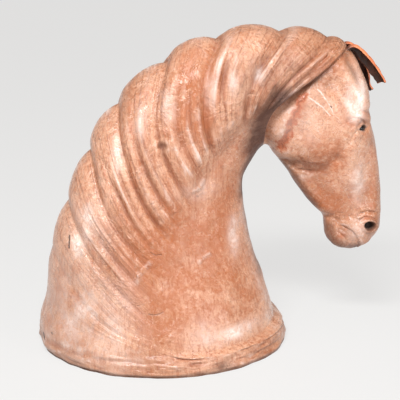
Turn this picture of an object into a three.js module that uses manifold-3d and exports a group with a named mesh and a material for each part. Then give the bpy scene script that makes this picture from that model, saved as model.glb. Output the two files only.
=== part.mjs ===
// A horse's head and neck as a bust: tan leather drawn over a light moulded core,
// with leather ears set in the poll and dark glass eyes.
// The horse faces +X and stands on its flat underside at z = 0. Its right side is towards -Y.
import * as THREE from "three";
import { mergeVertices } from "three/addons/utils/BufferGeometryUtils.js";
import Module from "manifold-3d";

const wasm = await Module();
wasm.setup();

// Driving sizes, in millimetres
const HEIGHT = 580; // underside to the top of the mane
const RIM_HEIGHT = 43; // rolled rim round the foot, at the front of the neck
const RIM_PROUD = 17; // how far that rim stands out at the front
const RIM_BACK_SHARE = 0.1; // the rim's stand-out at the back, as a share of the front's
const RIM_BACK_HEIGHT = 0.7; // and its height there, as a share of the front's
const RIM_BELLY = 0.3; // share of its height where the rim stands out most
const EAR_LENGTH = 114; // free length of a whole ear, from the skin to its tip
const EAR_WIDTH = 34; // round the curve of the leather, where it is widest
const EAR_ROOT_WIDTH = 20;
const EAR_THICKNESS = 3.2;
const EAR_ROOT_DEPTH = 12; // how deep the root sits in its slot
const SLOT_CLEARANCE = 0.3; // all round an ear's root
const EYE_DIAMETER = 18;
const EYE_PROUD = 4.2; // how far the glass stands out of the socket
const SOCKET_CLEARANCE = 0.3;
const NOSTRIL_WIDTH = 22;
const NOSTRIL_DEPTH = 14;
const MOUTH_SLIT = 3.2; // height of the gap between the lips
const MOUTH_DEPTH = 7; // how deep the gap runs in from the side of the muzzle

// Free form. Its pose, outline and carving are in hundredths of the height.
const UNIT = HEIGHT / 100;

// Sections from the foot to the lips. Each hangs from a crest point to a throat point, both [x, z].
// half: half width; middle: share of the way from crest to throat where it is widest;
// crestRound and throatRound: below 1 that edge is blunter than an ellipse, above 1 it is sharper.
const SECTIONS = [
  { crest: [-39.9, 0.0], throat: [37.0, 0.0], half: 35.2, middle: 0.5, crestRound: 0.95, throatRound: 0.95 },
  { crest: [-39.9, 8.0], throat: [35.2, 8.0], half: 32.6, middle: 0.5, crestRound: 0.95, throatRound: 0.95 },
  { crest: [-37.9, 15.5], throat: [33.0, 15.5], half: 29.4, middle: 0.5, crestRound: 0.95, throatRound: 0.95 },
  { crest: [-35.3, 31.5], throat: [28.0, 29.5], half: 23.2, middle: 0.48, crestRound: 0.95, throatRound: 0.95 },
  { crest: [-29.8, 46.0], throat: [25.3, 41.5], half: 19.4, middle: 0.46, crestRound: 0.95, throatRound: 0.95 },
  { crest: [-22.4, 62.0], throat: [24.8, 50.2], half: 17.0, middle: 0.45, crestRound: 0.95, throatRound: 0.95 },
  { crest: [-13.4, 76.2], throat: [26.2, 55.3], half: 15.6, middle: 0.44, crestRound: 0.95, throatRound: 1.0 },
  { crest: [1.4, 88.4], throat: [28.2, 58.6], half: 14.4, middle: 0.42, crestRound: 0.95, throatRound: 1.1 },
  { crest: [17.6, 95.0], throat: [30.2, 61.0], half: 13.6, middle: 0.4, crestRound: 0.95, throatRound: 1.2 },
  { crest: [37.0, 96.6], throat: [31.8, 62.2], half: 12.6, middle: 0.4, crestRound: 0.95, throatRound: 1.2 },
  { crest: [51.6, 95.0], throat: [33.4, 61.6], half: 11.6, middle: 0.42, crestRound: 0.9, throatRound: 1.0 },
  { crest: [57.6, 92.4], throat: [34.0, 60.8], half: 11.2, middle: 0.42, crestRound: 0.85, throatRound: 0.95 },
  { crest: [61.6, 86.4], throat: [35.2, 59.0], half: 11.0, middle: 0.42, crestRound: 0.8, throatRound: 0.9 },
  { crest: [64.3, 79.4], throat: [37.0, 56.8], half: 11.2, middle: 0.38, crestRound: 0.75, throatRound: 0.9 },
  { crest: [64.9, 70.6], throat: [39.4, 53.8], half: 11.0, middle: 0.36, crestRound: 0.75, throatRound: 0.9 },
  { crest: [67.2, 62.4], throat: [42.1, 49.4], half: 9.6, middle: 0.38, crestRound: 0.8, throatRound: 0.9 },
  { crest: [69.0, 54.2], throat: [45.6, 44.5], half: 8.0, middle: 0.42, crestRound: 0.85, throatRound: 0.9 },
  { crest: [70.0, 46.4], throat: [48.9, 41.0], half: 6.9, middle: 0.45, crestRound: 0.85, throatRound: 0.9 },
  { crest: [70.4, 39.4], throat: [51.6, 38.2], half: 6.6, middle: 0.45, crestRound: 0.85, throatRound: 0.9 },
  { crest: [70.2, 34.6], throat: [52.3, 34.4], half: 6.8, middle: 0.42, crestRound: 0.85, throatRound: 0.9 },
  { crest: [68.8, 31.4], throat: [53.0, 31.0], half: 6.3, middle: 0.45, crestRound: 0.85, throatRound: 0.9 },
  { crest: [66.0, 29.0], throat: [54.9, 28.5], half: 5.2, middle: 0.48, crestRound: 0.85, throatRound: 0.9 },
  { crest: [63.6, 27.1], throat: [58.6, 26.9], half: 2.8, middle: 0.5, crestRound: 0.9, throatRound: 0.9 },
];
const LAST_SECTION = SECTIONS.length - 1;
const FOOT_REACH = 38; // from the middle of the foot to its front and back
const RIM_SECTIONS = 2.2; // the rim ends below this section

// The mane: one lock springs from the crest at each section, up to the forelock at LAST_LOCK.
const LAST_LOCK = 11;
// How far each lock runs back towards the foot, in sections for each full crest-to-throat share
const LOCK_SWEEP = [0, 1.8, 3.4, 4.9, 5.0, 4.8, 4.7, 4.2, 3.0, 2.1, 2.3, 3.2, 2.2, 0.9, 0];
// Share of the way to the throat where each lock ends
const LOCK_END = [0.3, 0.32, 0.34, 0.36, 0.4, 0.46, 0.54, 0.62, 0.66, 0.68, 0.66, 0.62];
// How high each lock swells on the line of the crest
const LOCK_SWELL = [0, 0.2, 0.6, 1.1, 1.7, 2.4, 2.4, 3.1, 3.4, 3.2, 1.3, 0.4];
const LOCK_THICK = 0.9;
const LOCK_RIDGE = 0.6;
const STRAND_EDGES = [0, 0.38, 0.66, 1]; // where the strands of a lock part, across it
const STRAND_RIDGE = 1.1;
const CREST_BAND = 0.25; // share of the way down over which a lock's swell on the crest dies out
const LOCK_TAPER = 0.14; // share before its end over which a lock sinks into the neck
const MANE_FOOT = [1.5, 4.5]; // the mane grows out of the neck between these sections
const CALM_FROM = [8.6, 9.6]; // from here the strands are lower, towards the broad last lock
const CALM_SHARE = 0.75;
const SWEEP_FADE = 0.25; // past its end, the share over which a lock's sweep dies out
const FAR_SIDE = 0.7; // the left side's mane is carved shallower

// Carving of the face, as lines in the side view, with how far each reaches and how high it stands
const FACE_MARKS = {
  templeRidge: { line: [[53.5, 87.0], [57.5, 80.5], [61.5, 75.2]], reach: 3.2, height: 1.0 },
  templeHollow: { line: [[50.5, 82.0], [55.0, 76.0]], reach: 3.6, height: -0.7 },
  foreheadDip: { line: [[57.0, 89.5], [60.3, 84.0]], reach: 2.4, height: -0.7 },
  brow: { line: [[57.8, 71.2], [60.8, 72.0], [63.6, 70.8]], reach: 2.0, height: 0.5 },
  eyeHollow: { line: [[60.2, 68.7], [61.8, 68.7]], reach: 2.4, height: -1.1 },
  cheekBone: { line: [[57.5, 68.0], [57.0, 60.0], [58.5, 52.0]], reach: 4.5, height: 0.7 },
  noseSide: { line: [[64.5, 62.0], [64.2, 50.0], [64.0, 44.0]], reach: 3.8, height: -0.45 },
  jawBar: { line: [[38.0, 60.0], [44.0, 50.0], [51.0, 41.0]], reach: 3.5, height: 0.5 },
  cheekFold: { line: [[40.0, 57.0], [45.0, 55.0], [50.0, 55.8], [53.0, 58.5]], reach: 2.8, height: -0.8 },
  nostrilWing: { line: [[65.2, 35.6], [65.8, 35.6]], reach: 4.6, height: 1.6 },
  upperLip: { line: [[59.5, 36.6], [62.3, 33.4], [64.6, 30.6]], reach: 2.8, height: 0.7 },
  chin: { line: [[56.0, 30.2], [56.0, 31.0]], reach: 4.4, height: 0.9 },
};
const FOREHEAD_LEVEL = 68; // a form that starts above it keeps off the rounded forehead
const CHEEK = { centre: [44.0, 69.6], radius: 13.4, height: 1.7 };
const THROAT_HOLLOW = { line: [[44, 89], [38, 82], [33.5, 75.5], [29.5, 69], [28, 61]], reach: 5.0, depth: 3.4 };
const MOUTH_LINE = [[55.6, 35.6], [58.3, 34.8], [60.2, 32.2], [62.6, 29.6]];
const EYE_PLACE = [61.0, 68.7];
const NOSTRIL_PLACE = [65.3, 35.6];
const EAR_STATION = 10.95; // section number where the ears spring
const EAR_TURN = 14; // degrees round that section from the crest

// How each ear hangs. length: share of a whole ear, the right one's tip being lost; splay: outwards;
// pitch: up from level, at shares of its length; roll: how far its back turns inwards, all in degrees;
// tip: width left at the end, as a share.
const EAR_POSES = {
  ear_right: {
    side: -1,
    length: 0.88,
    splay: 3,
    pitch: [[0, 50], [0.1, 0], [0.22, -40], [0.5, -50], [1, -62]],
    roll: 26,
    tip: 0.84,
  },
  ear_left: {
    side: 1,
    length: 1,
    splay: -3,
    pitch: [[0, 48], [0.1, -10], [0.22, -52], [0.55, -66], [0.88, -80], [1, -36]],
    roll: -30,
    tip: 0.35,
  },
};
const EAR_CURL = [78, 56]; // half angle of the leather's curve at the root and at the tip, degrees

// How fine the faceted solids are
const STRAND_STEPS = [0, 0.3, 0.7]; // rows of corners across each strand
const FOOT_ROWS = 6;
const FACE_ROWS = 31;
const AROUND = 30;
const EAR_STEPS = 12;
const EAR_ARC_STEPS = 5;
const BALL_STEPS = 12;
const TINY = 1e-3;

function smooth(from, to, value) {
  return THREE.MathUtils.smoothstep(value, from, to);
}

// Straight lines between the entries of a list, which stand at 0, 1, 2 and so on
function stepped(values, at) {
  const last = values.length - 1;
  const place = THREE.MathUtils.clamp(at, 0, last);
  const index = Math.min(Math.floor(place), last - 1);
  return THREE.MathUtils.lerp(values[index], values[index + 1], place - index);
}

// Straight lines between [place, value] pairs
function between(pairs, at) {
  let index = 0;
  while (index < pairs.length - 2 && at > pairs[index + 1][0]) index += 1;
  const [[fromPlace, from], [toPlace, to]] = [pairs[index], pairs[index + 1]];
  return THREE.MathUtils.lerp(from, to, (at - fromPlace) / (toPlace - fromPlace));
}

// Catmull-Rom curve through one measure of the sections
function curved(measure, at) {
  const place = THREE.MathUtils.clamp(at, 0, LAST_SECTION - 1e-9);
  const index = Math.floor(place);
  const share = place - index;
  const [before, from, to, after] = [-1, 0, 1, 2].map((step) =>
    measure(SECTIONS[THREE.MathUtils.clamp(index + step, 0, LAST_SECTION)]));
  const leave = (to - before) / 2;
  const arrive = (after - from) / 2;
  const cubic = (2 * from - 2 * to + leave + arrive) * share;
  const square = (cubic - 3 * from + 3 * to - 2 * leave - arrive) * share;
  return (square + leave) * share + from;
}

function section(at) {
  return {
    crest: [curved((s) => s.crest[0], at), curved((s) => s.crest[1], at)],
    throat: [curved((s) => s.throat[0], at), curved((s) => s.throat[1], at)],
    half: curved((s) => s.half, at),
    middle: curved((s) => s.middle, at),
    crestRound: curved((s) => s.crestRound, at),
    throatRound: curved((s) => s.throatRound, at),
  };
}

// Share of the way from crest to throat, for a turn of 0 at the crest and pi at the throat
function hang(middle, turn) {
  const even = (1 - Math.cos(turn)) / 2;
  return (middle * even) / (middle * even + (1 - middle) * (1 - even));
}

// A line of the form follows a lock: it starts at a section on the crest and runs back as the lock does
function sweptSection(start, share) {
  const end = stepped(LOCK_END, start);
  const past = THREE.MathUtils.clamp(share - end, 0, SWEEP_FADE);
  const run = Math.min(share, end + SWEEP_FADE) - (past * past) / (2 * SWEEP_FADE);
  return start - stepped(LOCK_SWEEP, start) * run;
}

// Point of the uncarved form on section `at`, in hundredths of the height
function pointOnSection(at, turn) {
  const here = section(at);
  const share = hang(here.middle, turn);
  const round = THREE.MathUtils.lerp(here.throatRound, here.crestRound, (1 + Math.cos(turn)) / 2);
  const sine = Math.sin(turn);
  return new THREE.Vector3(
    THREE.MathUtils.lerp(here.crest[0], here.throat[0], share),
    here.half * Math.sign(sine) * Math.abs(sine) ** round,
    THREE.MathUtils.lerp(here.crest[1], here.throat[1], share),
  );
}

// The same on the line that springs from `start` on the crest
function barePoint(start, turn) {
  const share = hang(section(start).middle, turn);
  return pointOnSection(sweptSection(start, share), turn);
}

// Height of a soft ridge at a distance from its line
function bell(distance, reach) {
  const fall = Math.max(0, 1 - (distance / reach) ** 2);
  return fall * fall;
}

// Distance in the side view from a point to a line of [x, z] points
function distanceTo(line, point) {
  const here = new THREE.Vector2(point.x, point.z);
  let nearest = Infinity;
  for (let index = 1; index < line.length; index += 1) {
    const from = new THREE.Vector2(...line[index - 1]);
    const run = new THREE.Vector2(...line[index]).sub(from);
    const along = THREE.MathUtils.clamp(here.clone().sub(from).dot(run) / run.lengthSq(), 0, 1);
    nearest = Math.min(nearest, here.distanceTo(from.addScaledVector(run, along)));
  }
  return nearest;
}

// Rounded profile over a width from 0 to 1
function rounded(across, power) {
  return 1 - Math.abs(2 * across - 1) ** power;
}

function strandProfile(across) {
  const index = STRAND_EDGES.findIndex((edge) => edge > across) - 1;
  const from = STRAND_EDGES[index];
  return rounded((across - from) / (STRAND_EDGES[index + 1] - from), 2);
}

function maneHeight(start, share, isFar) {
  if (start >= LAST_LOCK) return 0;
  const across = start % 1;
  const end = stepped(LOCK_END, start);
  const swell = stepped(LOCK_SWELL, start);
  const onCrest = 1 - smooth(0, CREST_BAND, share);
  const present = (1 - smooth(end - LOCK_TAPER, end + 0.05, share)) * smooth(...MANE_FOOT, start)
    * (1 - smooth(LAST_LOCK - 0.25, LAST_LOCK - 0.02, start)) * (isFar ? FAR_SIDE : 1);
  const body = LOCK_THICK * smooth(0, 0.2, share)
    + rounded(across ** 0.85, 2.4) * (swell * onCrest + (LOCK_RIDGE + swell / 4) * (1 - onCrest));
  const calm = 1 - CALM_SHARE * smooth(...CALM_FROM, start);
  const strands = STRAND_RIDGE * calm * strandProfile(across) * smooth(0.05, 0.2, share);
  return present * (body + strands);
}

function faceHeight(start, point) {
  const offMiddle = smooth(0.5, 5, Math.abs(point.y));
  const flank = smooth(3, 8, Math.abs(point.y));
  let height = 0;
  for (const mark of Object.values(FACE_MARKS)) {
    const where = mark.line[0][1] > FOREHEAD_LEVEL ? flank : offMiddle;
    height += where * mark.height * bell(distanceTo(mark.line, point), mark.reach);
  }
  const fromCheek = Math.hypot(point.x - CHEEK.centre[0], point.z - CHEEK.centre[1]) / CHEEK.radius;
  const hollow = THROAT_HOLLOW.depth * bell(distanceTo(THROAT_HOLLOW.line, point), THROAT_HOLLOW.reach);
  height += offMiddle * CHEEK.height * Math.max(0, 1 - fromCheek ** 4) ** 1.5;
  return height - offMiddle * hollow * smooth(LAST_LOCK - 0.15, LAST_LOCK, start);
}

// The rolled rim is highest and stands out most at the front of the neck, and is a little uneven.
function rimHeight(turn, point) {
  const frontward = THREE.MathUtils.clamp((1 + point.x / FOOT_REACH) / 2, 0, 1);
  const uneven = 1 + 0.16 * Math.sin(3 * turn + 0.7) + 0.1 * Math.sin(7 * turn + 2);
  const wave = THREE.MathUtils.lerp(RIM_BACK_HEIGHT, 1, frontward) * (1 + 0.06 * Math.sin(4 * turn + 1));
  const top = (RIM_HEIGHT / UNIT) * wave;
  const belly = top * RIM_BELLY;
  const level = THREE.MathUtils.clamp((point.z - belly) / (top - belly), -0.35, 1);
  const grow = 0.3 * smooth(0, 0.5, frontward) + 0.7 * smooth(0.55, 1, frontward);
  const proud = (RIM_PROUD / UNIT) * THREE.MathUtils.lerp(RIM_BACK_SHARE, 1, grow) * uneven;
  return proud * Math.sqrt(1 - Math.max(level, level * 0.35) ** 2);
}

// A carved point of the form and its outward direction, in hundredths of the height
function carvedPoint(start, turn) {
  const point = barePoint(start, turn);
  const along = barePoint(start + TINY, turn).sub(barePoint(Math.max(start - TINY, 0), turn));
  const around = barePoint(start, turn + TINY).sub(barePoint(start, turn - TINY));
  const outward = along.cross(around);
  if (start === 0) outward.z = 0;
  outward.normalize();
  const share = hang(section(start).middle, turn);
  const isFar = point.y > 0;
  let height = maneHeight(start, share, isFar) + faceHeight(start, point);
  if (sweptSection(start, share) < RIM_SECTIONS) height += rimHeight(turn, point);
  point.addScaledVector(outward, height);
  point.z = Math.max(point.z, 0);
  return { point, outward };
}

// Section number and turn on the right side that show at [x, z] in the side view, forward of the mane
function seatOf([x, z]) {
  let low = 14;
  let high = LAST_SECTION;
  const shareAt = (here) => (x - here.crest[0]) / (here.throat[0] - here.crest[0]);
  while (high - low > TINY) {
    const middle = (low + high) / 2;
    const here = section(middle);
    const level = THREE.MathUtils.lerp(here.crest[1], here.throat[1], shareAt(here));
    if (level > z) low = middle;
    else high = middle;
  }
  const here = section(low);
  const share = shareAt(here);
  const even = (share * (1 - here.middle)) / (share * (1 - here.middle) + here.middle * (1 - share));
  return { start: low, turn: Math.acos(THREE.MathUtils.clamp(1 - 2 * even, -1, 1)) };
}

// A place on the carved skin in millimetres, on the right (side -1) or the left (side 1)
function skinAt({ start, turn }, side) {
  const { point, outward } = carvedPoint(start, side * turn);
  return { point: point.multiplyScalar(UNIT), outward };
}

// Closed mesh from rings of points; each ring turns so that its outside is on its left going up
function lofted(rings) {
  const count = rings[0].length;
  const positions = rings.flat().flatMap((point) => point.toArray());
  const faces = [];
  for (let ring = 0; ring < rings.length - 1; ring += 1) {
    for (let step = 0; step < count; step += 1) {
      const here = ring * count + step;
      const next = ring * count + ((step + 1) % count);
      faces.push(here, here + count, next + count);
      faces.push(here, next + count, next);
    }
  }
  for (const end of [0, rings.length - 1]) {
    const middle = new THREE.Vector3();
    rings[end].forEach((point) => middle.addScaledVector(point, 1 / count));
    const centre = positions.length / 3;
    positions.push(...middle.toArray());
    for (let step = 0; step < count; step += 1) {
      const here = end * count + step;
      const next = end * count + ((step + 1) % count);
      faces.push(centre, ...(end === 0 ? [here, next] : [next, here]));
    }
  }
  const geometry = new THREE.BufferGeometry();
  geometry.setAttribute("position", new THREE.Float32BufferAttribute(positions, 3));
  geometry.setIndex(faces);
  return geometry;
}

function solidOf(geometry) {
  const bare = geometry.clone();
  bare.deleteAttribute("normal");
  bare.deleteAttribute("uv");
  const merged = mergeVertices(bare);
  return new wasm.Manifold(new wasm.Mesh({
    numProp: 3,
    vertProperties: new Float32Array(merged.attributes.position.array),
    triVerts: new Uint32Array(merged.index.array),
  }));
}

function geometryOf(solid) {
  const mesh = solid.getMesh();
  const geometry = new THREE.BufferGeometry();
  geometry.setAttribute("position", new THREE.BufferAttribute(mesh.vertProperties, 3));
  geometry.setIndex(new THREE.BufferAttribute(mesh.triVerts, 1));
  geometry.computeVertexNormals();
  return geometry;
}

// Rows run along the locks, closest where strands are carved
function formRows() {
  const rows = [];
  for (let row = 0; row < FOOT_ROWS; row += 1) rows.push(row / FOOT_ROWS);
  for (let lock = 1; lock < LAST_LOCK; lock += 1) {
    for (let strand = 0; strand < STRAND_EDGES.length - 1; strand += 1) {
      const wide = STRAND_EDGES[strand + 1] - STRAND_EDGES[strand];
      for (const step of STRAND_STEPS) rows.push(lock + STRAND_EDGES[strand] + wide * step);
    }
  }
  for (let row = 0; row <= FACE_ROWS; row += 1) {
    rows.push(THREE.MathUtils.lerp(LAST_LOCK, LAST_SECTION, row / FACE_ROWS));
  }
  return rows;
}

function headForm() {
  const rings = formRows().map((start) => Array.from({ length: AROUND }, (_, step) =>
    carvedPoint(start, (step / AROUND) * 2 * Math.PI).point.multiplyScalar(UNIT)));
  return solidOf(lofted(rings));
}

function eyeCentre(side) {
  const { point, outward } = skinAt(seatOf(EYE_PLACE), side);
  return point.addScaledVector(outward, EYE_PROUD - EYE_DIAMETER / 2);
}

function eyeBall(side, clearance) {
  const ball = new THREE.SphereGeometry(EYE_DIAMETER / 2 + clearance, BALL_STEPS, BALL_STEPS / 2 + 1);
  return ball.translate(...eyeCentre(side).toArray());
}

function nostril(side) {
  const { point, outward } = skinAt(seatOf(NOSTRIL_PLACE), side);
  const hole = new THREE.SphereGeometry(1, BALL_STEPS, BALL_STEPS / 2);
  hole.scale(NOSTRIL_WIDTH / 2, NOSTRIL_WIDTH / 2.3, NOSTRIL_DEPTH);
  const turned = new THREE.Quaternion().setFromUnitVectors(new THREE.Vector3(0, 0, 1), outward);
  return hole.applyQuaternion(turned).translate(...point.toArray());
}

// A narrow wedge along the line of the mouth, from inside the muzzle out past its side
function mouthGap(side) {
  const line = MOUTH_LINE.map(([x, z]) => new THREE.Vector2(x * UNIT, z * UNIT));
  const away = line.map((point, index) => {
    const from = line[Math.max(index - 1, 0)];
    const to = line[Math.min(index + 1, line.length - 1)];
    const wide = (MOUTH_SLIT / 2) * Math.min(1, (index + 0.4) / 2);
    return to.clone().sub(from).normalize().rotateAround(new THREE.Vector2(), Math.PI / 2).multiplyScalar(wide);
  });
  const upper = line.map((point, index) => point.clone().add(away[index]));
  const lower = line.map((point, index) => point.clone().sub(away[index])).reverse();
  const skin = skinAt(seatOf(MOUTH_LINE[1]), 1).point.y;
  const band = new THREE.ExtrudeGeometry(new THREE.Shape([...upper, ...lower]), {
    depth: skin,
    bevelEnabled: false,
  });
  const start = side > 0 ? 2 * skin - MOUTH_DEPTH : MOUTH_DEPTH - skin;
  return band.rotateX(Math.PI / 2).translate(0, start, 0);
}

// One ear as a strip of leather, curved across. `clearance` grows it all round to cut its slot.
function earStrip(pose, clearance) {
  const root = skinAt({ start: EAR_STATION, turn: THREE.MathUtils.degToRad(EAR_TURN) }, pose.side).point;
  const directionAt = (share) => {
    const pitch = THREE.MathUtils.degToRad(between(pose.pitch, THREE.MathUtils.clamp(share, 0, 1)));
    const splay = THREE.MathUtils.degToRad(pose.splay) * pose.side;
    return new THREE.Vector3(
      Math.cos(pitch) * Math.cos(splay),
      Math.cos(pitch) * Math.sin(splay),
      Math.sin(pitch),
    );
  };
  const start = root.clone().addScaledVector(directionAt(0), -EAR_ROOT_DEPTH - clearance);
  const rings = [];
  const free = EAR_LENGTH * pose.length;
  const total = free + EAR_ROOT_DEPTH + 2 * clearance;
  const spine = start.clone();
  for (let step = 0; step <= EAR_STEPS; step += 1) {
    const run = (total * step) / EAR_STEPS;
    const share = (run - EAR_ROOT_DEPTH - clearance) / free;
    const direction = directionAt(share);
    if (step > 0) spine.addScaledVector(directionAt(share - total / EAR_STEPS / free / 2), total / EAR_STEPS);
    rings.push(earRing(pose, spine, direction, THREE.MathUtils.clamp(share, 0, 1), clearance));
  }
  return lofted(rings);
}

function earRing(pose, spine, direction, share, clearance) {
  const level = new THREE.Vector3(0, 0, 1).cross(direction).normalize();
  const up = direction.clone().cross(level);
  const roll = THREE.MathUtils.degToRad(pose.roll) * -pose.side;
  const back = up.multiplyScalar(Math.cos(roll)).addScaledVector(level, Math.sin(roll));
  const across = back.clone().cross(direction);
  const spread = THREE.MathUtils.lerp(EAR_ROOT_WIDTH, EAR_WIDTH, smooth(0, 0.45, share));
  const width = spread * THREE.MathUtils.lerp(1, pose.tip, smooth(0.6, 1, share));
  const halfCurl = THREE.MathUtils.degToRad(THREE.MathUtils.lerp(...EAR_CURL, share));
  const radius = width / (2 * halfCurl);
  const reach = halfCurl + clearance / radius;
  const half = EAR_THICKNESS / 2 + clearance;
  const ring = [];
  for (const [face, way] of [[half, 1], [-half, -1]]) {
    for (let step = 0; step <= EAR_ARC_STEPS; step += 1) {
      const angle = way * reach * ((2 * step) / EAR_ARC_STEPS - 1);
      const place = spine.clone().addScaledVector(across, (radius + face) * Math.sin(angle));
      ring.push(place.addScaledVector(back, (radius + face) * Math.cos(angle) - radius));
    }
  }
  return ring;
}

function leather(color) {
  return new THREE.MeshStandardMaterial({ color, roughness: 0.45, metalness: 0 });
}

function named(name, geometry, material) {
  const mesh = new THREE.Mesh(geometry, material);
  mesh.name = name;
  return mesh;
}

function headAndNeck() {
  let head = headForm();
  for (const side of [-1, 1]) {
    head = head.subtract(solidOf(eyeBall(side, SOCKET_CLEARANCE)));
    head = head.subtract(solidOf(nostril(side)));
    head = head.subtract(solidOf(mouthGap(side)));
  }
  for (const pose of Object.values(EAR_POSES)) {
    head = head.subtract(solidOf(earStrip(pose, SLOT_CLEARANCE)));
  }
  return named("head_and_neck", geometryOf(head), leather("#c9906c"));
}

function eye(name, side) {
  const glass = new THREE.MeshStandardMaterial({ color: "#120c09", roughness: 0.06, metalness: 0 });
  return named(name, eyeBall(side, 0), glass);
}

const horse = new THREE.Group();
horse.add(headAndNeck());
for (const [name, pose] of Object.entries(EAR_POSES)) {
  horse.add(named(name, earStrip(pose, 0), leather("#b0633d")));
}
horse.add(eye("eye_right", -1));
horse.add(eye("eye_left", 1));

export default horse;
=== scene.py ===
"""A horse's head and neck in tan leather over a moulded core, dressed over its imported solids."""
import math

import bpy
import numpy as np
from mathutils import Matrix, Vector


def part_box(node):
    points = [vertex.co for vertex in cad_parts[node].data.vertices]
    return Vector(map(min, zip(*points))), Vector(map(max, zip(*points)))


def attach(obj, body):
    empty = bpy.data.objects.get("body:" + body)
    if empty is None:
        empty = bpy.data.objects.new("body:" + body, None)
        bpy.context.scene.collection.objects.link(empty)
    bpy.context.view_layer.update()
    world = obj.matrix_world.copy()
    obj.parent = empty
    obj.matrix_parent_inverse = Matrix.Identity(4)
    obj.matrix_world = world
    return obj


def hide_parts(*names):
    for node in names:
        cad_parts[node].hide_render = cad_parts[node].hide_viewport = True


bl_info = {
    "name": "Horse head in leather",
    "version": (1, 0, 0),
    "blender": (4, 5, 0),
    "location": "View3D > Sidebar > Horse head",
    "description": "Leather skin, ears, glass eyes and a plain studio for the horse head",
    "category": "Object",
}

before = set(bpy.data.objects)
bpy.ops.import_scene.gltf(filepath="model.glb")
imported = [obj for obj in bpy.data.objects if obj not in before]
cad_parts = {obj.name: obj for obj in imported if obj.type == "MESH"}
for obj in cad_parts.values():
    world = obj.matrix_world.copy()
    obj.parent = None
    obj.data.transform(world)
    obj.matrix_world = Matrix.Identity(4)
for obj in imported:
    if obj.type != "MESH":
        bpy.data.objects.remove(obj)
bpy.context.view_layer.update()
RIGHT, LEFT = -1, 1

# The carved form is written in hundredths of its height; FORM_TOP is its highest point in them.
FORM_TOP = 99.566
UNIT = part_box("head_and_neck")[1].z / FORM_TOP

# Sections from the foot to the lips: crest x and z, throat x and z, half width, share of the way
# from crest to throat where it is widest, and how round its crest and throat edges are
SECTIONS = np.array([
    (-39.9, 0, 37, 0, 35.2, 0.5, 0.95, 0.95),
    (-39.9, 8, 35.2, 8, 32.6, 0.5, 0.95, 0.95),
    (-37.9, 15.5, 33, 15.5, 29.4, 0.5, 0.95, 0.95),
    (-35.3, 31.5, 28, 29.5, 23.2, 0.48, 0.95, 0.95),
    (-29.8, 46, 25.3, 41.5, 19.4, 0.46, 0.95, 0.95),
    (-22.4, 62, 24.8, 50.2, 17, 0.45, 0.95, 0.95),
    (-13.4, 76.2, 26.2, 55.3, 15.6, 0.44, 0.95, 1),
    (1.4, 88.4, 28.2, 58.6, 14.4, 0.42, 0.95, 1.1),
    (17.6, 95, 30.2, 61, 13.6, 0.4, 0.95, 1.2),
    (37, 96.6, 31.8, 62.2, 12.6, 0.4, 0.95, 1.2),
    (51.6, 95, 33.4, 61.6, 11.6, 0.42, 0.9, 1),
    (57.6, 92.4, 34, 60.8, 11.2, 0.42, 0.85, 0.95),
    (61.6, 86.4, 35.2, 59, 11, 0.42, 0.8, 0.9),
    (64.3, 79.4, 37, 56.8, 11.2, 0.38, 0.75, 0.9),
    (64.9, 70.6, 39.4, 53.8, 11, 0.36, 0.75, 0.9),
    (67.2, 62.4, 42.1, 49.4, 9.6, 0.38, 0.8, 0.9),
    (69, 54.2, 45.6, 44.5, 8, 0.42, 0.85, 0.9),
    (70, 46.4, 48.9, 41, 6.9, 0.45, 0.85, 0.9),
    (70.4, 39.4, 51.6, 38.2, 6.6, 0.45, 0.85, 0.9),
    (70.2, 34.6, 52.3, 34.4, 6.8, 0.42, 0.85, 0.9),
    (68.8, 31.4, 53, 31, 6.3, 0.45, 0.85, 0.9),
    (66, 29, 54.9, 28.5, 5.2, 0.48, 0.85, 0.9),
    (63.6, 27.1, 58.6, 26.9, 2.8, 0.5, 0.9, 0.9),
])
LAST_SECTION = len(SECTIONS) - 1
LAST_LOCK = 11
LOCK_SWEEP = (0, 1.8, 3.4, 4.9, 5, 4.8, 4.7, 4.2, 3, 2.1, 2.3, 3.2, 2.2, 0.9, 0)
LOCK_END = (0.3, 0.32, 0.34, 0.36, 0.4, 0.46, 0.54, 0.62, 0.66, 0.68, 0.66, 0.62)
LOCK_SWELL = (0, 0.2, 0.6, 1.1, 1.7, 2.4, 2.4, 3.1, 3.4, 3.2, 1.3, 0.4)
LOCK_THICK = 0.9
LOCK_RIDGE = 0.6
# Grooves between the strands of a lock: where in the lock, half width, depth
STRAND_GROOVES = ((0, 0.1, 1), (0.38, 0.09, 0.9), (0.66, 0.06, 0.35), (1, 0.1, 1))
SWEEP_FADE = 0.25
FAR_SIDE = 0.7

# Soft forms of the face, on both sides: line in the side view, reach, height
FACE_FORMS = {
    "temple_ridge": ([(53.5, 87), (57.5, 80.5), (61.5, 75.2)], 3.2, 1),
    "temple_hollow": ([(50.5, 82), (55, 76)], 3.6, -0.5),
    "forehead_dip": ([(57, 89.5), (60.3, 84)], 2.4, -0.7),
    "brow": ([(57.8, 71.2), (60.8, 72), (63.6, 70.8)], 2, 0.5),
    "eye_hollow": ([(60.2, 68.7), (61.8, 68.7)], 2.4, -1.1),
    "cheek_bone": ([(57.5, 68), (57, 60), (58.5, 52)], 4.5, 0.7),
    "nose_side": ([(64.5, 62), (64.2, 50), (64, 44)], 3.8, -0.45),
    "jaw_bar": ([(38, 60), (44, 50), (51, 41)], 3.5, 0.5),
    "cheek_fold": ([(40, 57), (45, 55), (50, 55.8), (53, 58.5)], 2.8, -0.8),
    "nostril_wing": ([(65.2, 35.6), (65.8, 35.6)], 4.6, 1.6),
    "upper_lip": ([(59.5, 36.6), (62.3, 33.4), (64.6, 30.6)], 2.8, 0.7),
    "chin": ([(56, 30.2), (56, 31)], 4.4, 0.9),
}
FORM_MASK_HEIGHT = 68  # above it a form keeps off the rounded forehead
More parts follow.
